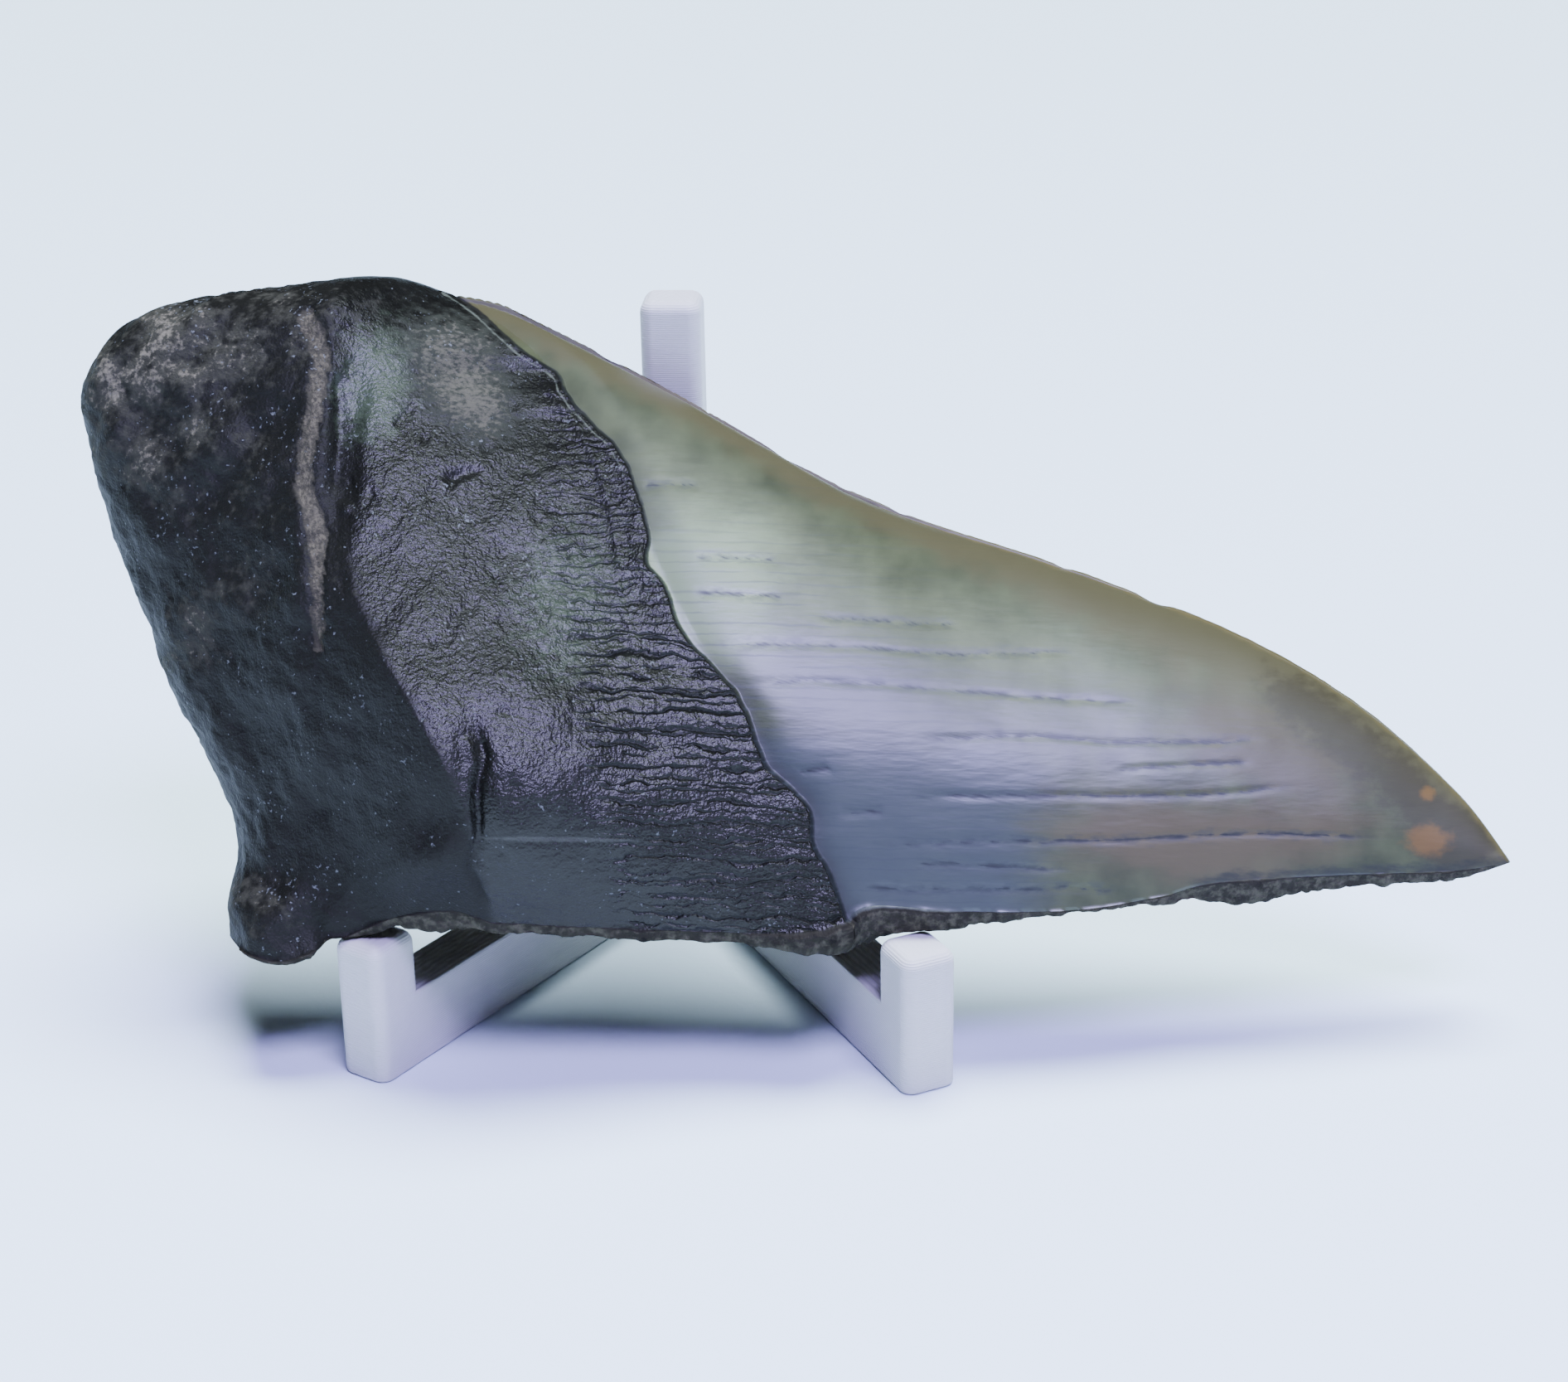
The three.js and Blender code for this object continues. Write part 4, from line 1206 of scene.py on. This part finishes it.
@dataclass(frozen=True)
class FossilFinish:
    """A tooth turned to phosphate rock. Its enamel is a smooth, mottled grey-green with a soft gloss,
    stained dark along its hairlines. Its root is black and pebbly, glossy where it was handled and
    matt, greyer and rough where it weathered, and its manganese film makes the gleam a little warmer.
    The break is dull, dark grey and granular."""

    root_colour: str = "#0e0e0b"
    crown_colour: str = "#3b3f2a"
    break_colour: str = "#292721"
    film_tint: str = "#fffcf2"
    ior: float = 1.6
    root_gloss: float = 0.21
    crown_gloss: float = 0.34
    root_stains_and_painted_light: tuple[StainOrPaintedLight, ...] = (
        StainOrPaintedLight("#11110d", "slope", (3, 3, 3), 0.8, 0.0, 0.8, 0.9, 0.62),
        StainOrPaintedLight("#33322a", "weathered", (1.0, 1.0, 1.0), 1.7, 0.2, 0.8, 0.9, 0.75),
        StainOrPaintedLight("#666052", "weathered", (0.5, 0.5, 0.5), 2.1, 0.7, 1.2, 0.85, 0.85),
        StainOrPaintedLight("#2b2d25", "grey_top", (1.3, 0.7, 1.3), 1.5, 0.2, 0.9, 0.9, 0.7),
        StainOrPaintedLight("#4f4c40", "grey_top", (0.6, 0.4, 0.6), 1.9, 0.7, 1.2, 0.8, 0.8),
        # partly grey-green colour, partly painted greenish sheen
        StainOrPaintedLight("#323a2c", "green", (1.2, 0.8, 1.2), 1.2, 0.2, 0.9, 0.85, 0.36),
        StainOrPaintedLight("#0f0f0b", "wrinkled", (2, 0.6, 2), 0.8, 0.1, 0.9, 0.8, 0.36),
        StainOrPaintedLight("#38352d", "scuff", (0.5, 0.9, 0.5), 1.1, 0.3, 0.7, 0.9, 0.85),
        StainOrPaintedLight("#585244", "scuff", (0.35, 0.5, 0.35), 1.8, 0.8, 1.3, 0.8, 0.85),
        # painted highlight along the upper rim of the bourlette's step
        StainOrPaintedLight("#4f5347", "lip_rim_highlight", (0.8, 0.8, 0.8), 0.8, 0.35, 0.8, 0.8, 0.45),
        StainOrPaintedLight("#3f403b", "scratch", (0.7, 0.7, 0.7), 0.6, 0.4, 0.8, 0.6, 0.5),
    )
    crown_stains_and_painted_light: tuple[StainOrPaintedLight, ...] = (
        # partly a paler patch of enamel, partly painted sheen
        StainOrPaintedLight("#667252", "pale", (4, 2, 4), 0.5, 0.15, 0.85, 0.9, 0.34),
        StainOrPaintedLight("#3b3f44", "lilac", (6, 1.2, 6), 0.5, 0.2, 0.9, 0.8, 0.32),
        StainOrPaintedLight("#22271b", "smoky", (5, 2, 5), 0.6, 0.15, 1.1, 0.75, 0.38),
        StainOrPaintedLight("#4b412e", "tan", (4, 2.2, 4), 0.7, 0.25, 0.9, 0.85, 0.38),
        StainOrPaintedLight("#3e3722", "ochre", (3, 2.2, 3), 0.8, 0.25, 0.9, 0.85, 0.4),
        StainOrPaintedLight("#413d27", "edge_band", (2.6, 2.2, 2.6), 0.8, 0.2, 0.85, 0.9, 0.45),
        StainOrPaintedLight("#2d291a", "dark_band", (1.5, 1.2, 1.5), 1.3, 0.25, 0.9, 0.8, 0.42),
        StainOrPaintedLight("#5e441f", "orange", (0.9, 0.7, 0.9), 0.9, 0.35, 1.0, 0.8, 0.42),
        StainOrPaintedLight("#191a17", "foot_stain", (2.2, 0.8, 2.2), 1.6, 0.4, 1.2, 0.85, 0.45),
        StainOrPaintedLight("#504828", "edge_rim", (1.6, 1.6, 1.6), 1.1, 0.35, 0.95, 0.7, 0.45),
        StainOrPaintedLight("#7c7866", "chip", (0.6, 0.6, 0.6), 0.3, 0.5, 0.9, 0.8, 0.5),
        StainOrPaintedLight("#191915", "lip_shade", (0.9, 0.9, 0.9), 0.25, 0.15, 1.1, 0.7, 0.45),
        # painted shadow along the bourlette's step
        StainOrPaintedLight("#0c0d0e", "lip_step_shadow", (0.7, 0.7, 0.7), 0.5, 0.35, 0.9, 0.9, 0.6),
    )
    break_stains: tuple[StainOrPaintedLight, ...] = (
        StainOrPaintedLight("#4c493d", "broken", (0.9, 0.9, 0.9), 2.2, 0.8, 1.4, 0.8, 0.85),
        StainOrPaintedLight("#100f0f", "broken", (1.7, 1.7, 1.7), 2.4, 1.2, 1.65, 0.8, 0.8),
    )

    def material(self) -> bpy.types.Material:
        """Builds the one material of the tooth, whose zones are told apart by the mesh's attributes."""
        material = bpy.data.materials.new("fossil_phosphate")
        material.use_nodes = True
        tree = material.node_tree
        shader = tree.nodes["Principled BSDF"]
        place = add_node(tree, "ShaderNodeAttribute", attribute_name="own_place").outputs["Vector"]
        flat_place = add_node(tree, "ShaderNodeVectorMath", {0: place, 1: (1.0, 1.0, 0.1)},
                              operation="MULTIPLY").outputs[0]
        root = self.stack(tree, place, self.root_colour, 0.38, self.root_stains_and_painted_light)
        root = self.speckle(tree, place, *root)
        wrinkled = add_node(tree, "ShaderNodeAttribute", attribute_name="wrinkled").outputs["Fac"]
        creases = self.creases(tree, place, 1.55, 3.4, wrinkled)
        finer_creases = self.creases(tree, place, 0.95, 2.2, wrinkled)
        # painted shade: the root is drawn darker down its creases, where shade falls
        root = self.over(tree, creases, root, (linear("#060607"), 0.5))
        root = self.over(tree, finer_creases, root, (linear("#0a0a0b"), 0.5))
        crown = self.stack(tree, flat_place, self.crown_colour, 0.36, self.crown_stains_and_painted_light)
        pale = add_node(tree, "ShaderNodeAttribute", attribute_name="hairline").outputs["Fac"]
        hairlines = self.creases(tree, place, 0.9, 7.0, pale, warp=0.25)
        crown = self.over(tree, hairlines, crown, (linear("#2b2f33"), 0.45))
        crown = self.streaks(tree, flat_place, *crown)
        broken = self.stack(tree, place, self.break_colour, 0.85, self.break_stains)
        enamel = add_node(tree, "ShaderNodeAttribute", attribute_name="enamel").outputs["Fac"]
        is_crown = add_node(tree, "ShaderNodeMapRange", {0: enamel, 1: -0.08, 2: 0.08}).outputs[0]
        past_lip = add_node(tree, "ShaderNodeAttribute", attribute_name="broken").outputs["Fac"]
        is_broken = add_node(tree, "ShaderNodeMapRange", {0: past_lip, 1: 0.15, 2: 0.6}).outputs[0]
        colour, roughness = self.over(tree, is_crown, root, crown)
        colour, roughness = self.over(tree, is_broken, (colour, roughness), broken)
        tree.links.new(colour, shader.inputs["Base Color"])
        tree.links.new(roughness, shader.inputs["Roughness"])
        both = add_node(tree, "ShaderNodeMath", {0: finer_creases, 1: 0.6, 2: creases}, operation="MULTIPLY_ADD")
        normal = self.bumps(tree, place, is_crown, is_broken, both.outputs[0])
        tree.links.new(normal, shader.inputs["Normal"])
        gloss = add_node(tree, "ShaderNodeMapRange", {0: is_crown, 3: self.root_gloss, 4: self.crown_gloss})
        dulled = add_node(tree, "ShaderNodeMapRange", {0: roughness, 1: 0.42, 2: 0.8, 3: 1.0, 4: 0.2})
        left = add_node(tree, "ShaderNodeMath", {0: gloss.outputs[0], 1: dulled.outputs[0]}, operation="MULTIPLY")
        tree.links.new(left.outputs[0], shader.inputs["Specular IOR Level"])
        tint = add_node(tree, "ShaderNodeMix", {0: is_crown, 6: linear(self.film_tint), 7: (1, 1, 1, 1)},
                        data_type="RGBA")
        tree.links.new(tint.outputs[2], shader.inputs["Specular Tint"])
        shader.inputs["IOR"].default_value = self.ior
        return material

    @staticmethod
    def over(tree: bpy.types.NodeTree, share: bpy.types.NodeSocket, below: tuple, above: tuple) -> tuple:
        """Lays one colour and roughness over another by a share.

        Args:
            tree: the material's nodes.
            share: how much of the upper one shows.
            below: the lower colour and roughness.
            above: the upper colour and roughness.

        Returns:
            The mixed colour and roughness.
        """
        colour = add_node(tree, "ShaderNodeMix", {0: share, 6: below[0], 7: above[0]}, data_type="RGBA")
        roughness = add_node(tree, "ShaderNodeMix", {0: share, 2: below[1], 3: above[1]}, data_type="FLOAT")
        return colour.outputs[2], roughness.outputs[0]

    def stack(self, tree: bpy.types.NodeTree, place: bpy.types.NodeSocket, colour: str, roughness: float,
              stains_and_painted_light: tuple[StainOrPaintedLight, ...]) -> tuple:
        """Lays a list of stains and painted light over a ground colour, one after another.

        Args:
            tree: the material's nodes.
            place: the tooth's own coordinates, in millimetres.
            colour: the ground colour.
            roughness: the ground's roughness.
            stains_and_painted_light: what lies on it, lowest first.

        Returns:
            The colour and roughness on top.
        """
        tone = add_node(tree, "ShaderNodeTexNoise", {"Vector": place, "Scale": 0.35, "Detail": 5.0})
        light = add_node(tree, "ShaderNodeMapRange", {0: tone.outputs[0], 1: 0.3, 2: 0.7, 3: 0.68, 4: 1.32})
        shaded = add_node(tree, "ShaderNodeVectorMath", {0: linear(colour)[:3], 3: light.outputs[0]},
                          operation="SCALE")
        top = (shaded.outputs[0], roughness)
        for stain_or_painted_light in stains_and_painted_light:
            mask = add_node(tree, "ShaderNodeAttribute", attribute_name=stain_or_painted_light.mask).outputs["Fac"]
            size = add_node(tree, "ShaderNodeVectorMath",
                            {0: place, 1: tuple(1 / s for s in stain_or_painted_light.patch_mm)}, operation="MULTIPLY")
            noise = add_node(tree, "ShaderNodeTexNoise", {"Vector": size.outputs[0], "Scale": 1.0, "Detail": 4.0,
                                                          "Roughness": 0.6})
            moved = add_node(tree, "ShaderNodeMath", {0: noise.outputs[0], 1: stain_or_painted_light.spread, 2: mask},
                             operation="MULTIPLY_ADD")
            middle = 0.5 * stain_or_painted_light.spread
            share = add_node(tree, "ShaderNodeMapRange",
                             {0: moved.outputs[0], 1: stain_or_painted_light.low + middle, 2: stain_or_painted_light.high + middle, 3: 0.0,
                              4: stain_or_painted_light.strength}, interpolation_type="SMOOTHSTEP")
            top = self.over(tree, share.outputs[0], top, (linear(stain_or_painted_light.colour), stain_or_painted_light.roughness))
        return top

    def creases(self, tree: bpy.types.NodeTree, place: bpy.types.NodeSocket, pitch: float, reach: float,
                strength: bpy.types.NodeSocket, warp: float = 1.0) -> bpy.types.NodeSocket:
        """Draws wavy lines along the tooth, each coming and going by itself.

        The height up the tooth is bent by two noises and divided by the pitch. Its fraction tells the
        distance to a line's middle, and its whole part picks that line's own noise, which gives the
        line's width.

        Args:
            tree: the material's nodes.
            place: the tooth's own coordinates, in millimetres.
            pitch: how far apart the lines are, in millimetres.
            reach: about how long a line is, in millimetres.
            strength: how strong the lines are at each place.
            warp: how much they wave.

        Returns:
            The lines' strength, from 0 to 1.
        """
        axes = add_node(tree, "ShaderNodeSeparateXYZ", {0: place})
        height = axes.outputs[1]
        for size, amount in (((0.17, 0.3, 0.0), 2.4 * warp), ((0.6, 0.8, 0.0), 1.1 * warp)):
            scaled = add_node(tree, "ShaderNodeVectorMath", {0: place, 1: size}, operation="MULTIPLY")
            bend = add_node(tree, "ShaderNodeTexNoise", {"Vector": scaled.outputs[0], "Scale": 1.0, "Detail": 3.0})
            height = add_node(tree, "ShaderNodeMath", {0: bend.outputs[0], 1: amount, 2: height},
                              operation="MULTIPLY_ADD").outputs[0]
        phase = add_node(tree, "ShaderNodeMath", {0: height, 1: 1 / pitch}, operation="MULTIPLY").outputs[0]
        line = add_node(tree, "ShaderNodeMath", {0: phase}, operation="FLOOR")
        share = add_node(tree, "ShaderNodeMath", {0: phase}, operation="FRACT")
        off = add_node(tree, "ShaderNodeMath", {0: share.outputs[0], 1: -0.5}, operation="ADD")
        side = add_node(tree, "ShaderNodeMath", {0: off.outputs[0]}, operation="ABSOLUTE")
        along = add_node(tree, "ShaderNodeMath", {0: axes.outputs[0], 1: 1 / reach}, operation="MULTIPLY")
        apart = add_node(tree, "ShaderNodeMath", {0: line.outputs[0], 1: 7.31}, operation="MULTIPLY")
        own = add_node(tree, "ShaderNodeCombineXYZ", {0: along.outputs[0], 1: apart.outputs[0]})
        comes = add_node(tree, "ShaderNodeTexNoise", {"Vector": own.outputs[0], "Scale": 1.0, "Detail": 3.0})
        width = add_node(tree, "ShaderNodeMapRange", {0: comes.outputs[0], 1: 0.4, 2: 0.6, 3: 0.01, 4: 0.24})
        depth = add_node(tree, "ShaderNodeMapRange", {0: side.outputs[0], 1: width.outputs[0], 2: 0.0},
                         interpolation_type="SMOOTHSTEP")
        return add_node(tree, "ShaderNodeMath", {0: depth.outputs[0], 1: strength},
                        operation="MULTIPLY").outputs[0]

    def speckle(self, tree: bpy.types.NodeTree, place: bpy.types.NodeSocket, colour: bpy.types.NodeSocket,
                roughness: bpy.types.NodeSocket) -> tuple:
        """Scatters pale mineral grains 0.15 to 0.3 mm wide over the root, drawn a little coarse to show.

        Args:
            tree: the material's nodes.
            place: the tooth's own coordinates, in millimetres.
            colour: the colour below.
            roughness: the roughness below.

        Returns:
            The colour and roughness with the grains on them.
        """
        grains = add_node(tree, "ShaderNodeTexNoise", {"Vector": place, "Scale": 2.6, "Detail": 2.0})
        groups = add_node(tree, "ShaderNodeTexNoise", {"Vector": place, "Scale": 0.28, "Detail": 2.0})
        both = add_node(tree, "ShaderNodeMath", {0: groups.outputs[0], 1: 0.35, 2: grains.outputs[0]},
                        operation="MULTIPLY_ADD")
        share = add_node(tree, "ShaderNodeMapRange", {0: both.outputs[0], 1: 0.86, 2: 0.94, 4: 0.75})
        return self.over(tree, share.outputs[0], (colour, roughness), (linear("#626566"), 0.7))

    def streaks(self, tree: bpy.types.NodeTree, place: bpy.types.NodeSocket, colour: bpy.types.NodeSocket,
                roughness: bpy.types.NodeSocket) -> tuple:
        """Draws the crown's dark hairlines, each with a soft stain round it.

        Args:
            tree: the material's nodes.
            place: the tooth's own coordinates, in millimetres.
            colour: the colour below.
            roughness: the roughness below.

        Returns:
            The colour and roughness with the hairlines on them.
        """
        distance = add_node(tree, "ShaderNodeAttribute", attribute_name="streak").outputs["Fac"]
        strength = add_node(tree, "ShaderNodeAttribute", attribute_name="streak_strength").outputs["Fac"]
        stretch = add_node(tree, "ShaderNodeVectorMath", {0: place, 1: (0.7, 1.6, 0.5)}, operation="MULTIPLY")
        uneven = add_node(tree, "ShaderNodeTexNoise", {"Vector": stretch.outputs[0], "Scale": 1.0, "Detail": 4.0})
        width = add_node(tree, "ShaderNodeMapRange", {0: uneven.outputs[0], 1: 0.38, 2: 0.64, 3: 0.02, 4: 0.36})
        top = (colour, roughness)
        for stain_or_painted_light, spread, amount in (("#23262a", 3.0, 0.5), ("#0e1012", 1.0, 0.95)):
            wide = add_node(tree, "ShaderNodeMath", {0: width.outputs[0], 1: spread}, operation="MULTIPLY")
            share = add_node(tree, "ShaderNodeMapRange", {0: distance, 1: wide.outputs[0], 2: 0.0, 3: 0.0,
                                                          4: amount}, interpolation_type="SMOOTHSTEP")
            shown = add_node(tree, "ShaderNodeMath", {0: share.outputs[0], 1: strength}, operation="MULTIPLY")
            top = self.over(tree, shown.outputs[0], top, (linear(stain_or_painted_light), 0.45))
        return top

    @staticmethod
    def bumps(tree: bpy.types.NodeTree, place: bpy.types.NodeSocket, is_crown: bpy.types.NodeSocket,
              is_broken: bpy.types.NodeSocket, creases: bpy.types.NodeSocket) -> bpy.types.NodeSocket:
        """Makes the relief too fine for the mesh: pebbles of 0.5 mm and grit of 0.2 mm on the root, its
        creases, and faint waves along the enamel, with heights in millimetres.

        Args:
            tree: the material's nodes.
            place: the tooth's own coordinates, in millimetres.
            is_crown: 1 on enamel.
            is_broken: 1 on the break.
            creases: depth of the creases, from 0 to 1.

        Returns:
            The bent normal.
        """
        pebbles = add_node(tree, "ShaderNodeTexNoise", {"Vector": place, "Scale": 1.5, "Detail": 2.5,
                                                        "Roughness": 0.55})
        drawn_out = add_node(tree, "ShaderNodeVectorMath", {0: place, 1: (0.4, 1.7, 0.1)}, operation="MULTIPLY")
        waves = add_node(tree, "ShaderNodeTexNoise", {"Vector": drawn_out.outputs[0], "Scale": 0.9, "Detail": 2.0})
        rough = add_node(tree, "ShaderNodeMath", {0: pebbles.outputs[0], 1: 0.15}, operation="MULTIPLY")
        grit = add_node(tree, "ShaderNodeTexNoise", {"Vector": place, "Scale": 4.5, "Detail": 1.0})
        rough = add_node(tree, "ShaderNodeMath", {0: grit.outputs[0], 1: 0.07, 2: rough.outputs[0]},
                         operation="MULTIPLY_ADD")
        fine = add_node(tree, "ShaderNodeMath", {0: waves.outputs[0], 1: 0.025}, operation="MULTIPLY")
        cut = add_node(tree, "ShaderNodeMath", {0: creases, 1: -0.22, 2: rough.outputs[0]},
                       operation="MULTIPLY_ADD")
        height = add_node(tree, "ShaderNodeMix", {0: is_crown, 2: cut.outputs[0], 3: fine.outputs[0]},
                          data_type="FLOAT")
        crumbs = add_node(tree, "ShaderNodeMath", {0: pebbles.outputs[0], 1: 0.4}, operation="MULTIPLY")
        whole = add_node(tree, "ShaderNodeMix", {0: is_broken, 2: height.outputs[0], 3: crumbs.outputs[0]},
                         data_type="FLOAT")
        return add_node(tree, "ShaderNodeBump", {"Height": whole.outputs[0], "Distance": MM}).outputs[0]


@dataclass(frozen=True)
class PhotoCamera:
    """The photograph's view, fitted to the stand's straight edges.

    Its place is measured in millimetres from the point of the stand's V, and its angles in degrees.
    """

    image_width: float = 1892.0
    focal_length_pixels: float = 3600.0
    place: tuple[float, float, float] = (29.8, -265.22, 132.66)
    yaw: float = -4.429
    pitch: float = 23.161
    roll: float = -0.975
    sensor_mm: float = 36.0

    def build(self, origin: np.ndarray) -> bpy.types.Object:
        """Makes the camera the scene's own.

        Args:
            origin: the point of the V, in the part's millimetres.

        Returns:
            The camera.
        """
        yaw, pitch, roll = (math.radians(angle) for angle in (self.yaw, self.pitch, self.roll))
        ahead = Vector((math.sin(yaw) * math.cos(pitch), math.cos(yaw) * math.cos(pitch), -math.sin(pitch)))
        level = Vector((math.cos(yaw), -math.sin(yaw), 0.0))
        upright = level.cross(ahead)
        right = math.cos(roll) * level + math.sin(roll) * upright
        up = math.cos(roll) * upright - math.sin(roll) * level
        data = bpy.data.cameras.new("photo_camera")
        data.sensor_width = self.sensor_mm
        data.lens = self.sensor_mm * self.focal_length_pixels / self.image_width
        data.clip_start, data.clip_end = 0.01, 20.0
        camera = bpy.data.objects.new("photo_camera", data)
        turn = Matrix((right, up, -ahead)).transposed().to_4x4()
        camera.matrix_world = Matrix.Translation(Vector((np.array(self.place) + origin) * MM)) @ turn
        bpy.context.scene.collection.objects.link(camera)
        bpy.context.scene.camera = camera
        return camera


@dataclass(frozen=True)
class SoftBox:
    """A lamp behind a diffuser, aimed at the object.

    A wide cloth far away counts as a sun with a broad disc, and a panel near the object is a rectangle.
    Azimuths turn from the camera's side towards the right. Angles are in degrees and sizes in metres.
    A lamp that doesn't light is only seen as a gleam on the gloss, and one that doesn't reflect only lights.
    """

    name: str
    kind: str
    elevation: float
    azimuth: float
    colour: str
    power: float
    distance: float = 0.7
    size: tuple[float, float] = (0.3, 0.3)
    disc: float = 40.0
    lights: bool = True
    reflects: bool = True

    def build(self, aim: Vector) -> None:
        """Hangs the lamp and turns it to the aim."""
        rise, turn = math.radians(self.elevation), math.radians(self.azimuth)
        towards = Vector((math.cos(rise) * math.sin(turn), -math.cos(rise) * math.cos(turn), math.sin(rise)))
        data = bpy.data.lights.new(self.name, self.kind)
        data.color = linear(self.colour)[:3]
        data.energy = self.power
        if self.kind == "SUN":
            data.angle = math.radians(self.disc)
        else:
            data.shape = "RECTANGLE"
            data.size, data.size_y = self.size
        lamp = bpy.data.objects.new(self.name, data)
        lamp.location = aim + self.distance * towards
        lamp.visible_diffuse = self.lights
        lamp.visible_glossy = self.reflects
        lamp.rotation_euler = towards.to_track_quat("Z", "Y").to_euler()
        bpy.context.scene.collection.objects.link(lamp)


@dataclass(frozen=True)
class Studio:
    """A white tent: one pale floor that runs out of sight, a bright roof behind and above the object,
    and bluish cloth and panels in front. Sizes in metres."""

    floor_half: float = 3.0
    floor_colour: str = "#d4e2e9"
    air_colour: str = "#e4e8ea"
    air_strength: float = 0.04
    lamps: tuple[SoftBox, ...] = (
        SoftBox("roof", "SUN", 77, 160, "#ddefff", 13.6, disc=32, reflects=False),
        SoftBox("lilac_cloth", "AREA", 60, 25, "#b8aeff", 12.6, 0.7, (0.3, 0.21), reflects=False),
        SoftBox("lilac_gleam", "AREA", 46, 20, "#bbb5ff", 15.0, 0.7, (0.32, 0.19), lights=False),
        SoftBox("sheen_panel", "AREA", 67, 50, "#e8fff4", 4.2, 0.8, (0.32, 0.26), lights=False),
    )

    def build(self, origin: np.ndarray) -> None:
        """Lays the floor, sets the air's colour, and hangs the lamps and the camera."""
        PhotoCamera().build(origin)
        half = self.floor_half
        mesh = bpy.data.meshes.new("studio_floor")
        mesh.from_pydata([(-half, -half, 0), (half, -half, 0), (half, half, 0), (-half, half, 0)], [],
                         [(0, 1, 2, 3)])
        mesh.materials.append(self.floor_material())
        floor = bpy.data.objects.new("studio_floor", mesh)
        bpy.context.scene.collection.objects.link(floor)
        world = bpy.data.worlds.new("tent_air")
        world.use_nodes = True
        air = world.node_tree.nodes["Background"]
        air.inputs["Color"].default_value = linear(self.air_colour)
        air.inputs["Strength"].default_value = self.air_strength
        bpy.context.scene.world = world
        low, high = CAD_BOX
        for lamp in self.lamps:
            lamp.build((low + high) / 2)

    def floor_material(self) -> bpy.types.Material:
        """Matt white card: it spreads the light and takes soft shadows."""
        material = bpy.data.materials.new("matt_card")
        material.use_nodes = True
        tree = material.node_tree
        shader = tree.nodes["Principled BSDF"]
        place = add_node(tree, "ShaderNodeTexCoord").outputs["Object"]
        fibres = add_node(tree, "ShaderNodeTexNoise", {"Vector": place, "Scale": 900.0, "Detail": 2.0})
        bump = add_node(tree, "ShaderNodeBump", {"Height": fibres.outputs[0], "Distance": 0.00005})
        tree.links.new(bump.outputs[0], shader.inputs["Normal"])
        shader.inputs["Base Color"].default_value = linear(self.floor_colour)
        shader.inputs["Roughness"].default_value = 0.8
        shader.inputs["IOR"].default_value = 1.3
        return material


def corners(box: tuple[Vector, Vector]) -> list[list[float]]:
    """Turns a box's two corners into plain lists."""
    return [list(corner) for corner in box]


def main() -> None:
    """Builds the studio, the stand and the tooth."""
    logging.basicConfig(level=logging.INFO, format="%(name)s: %(message)s")
    stand = PrintedStand()
    Studio().build(stand.origin)
    for piece in (stand.build(), FossilTooth(ToothShape(), stand).build()):
        triangles = sum(len(face.vertices) - 2 for face in piece.data.polygons)
        log.info("%s: %d triangles", piece.name, triangles)


if __name__ == "__main__":
    main()
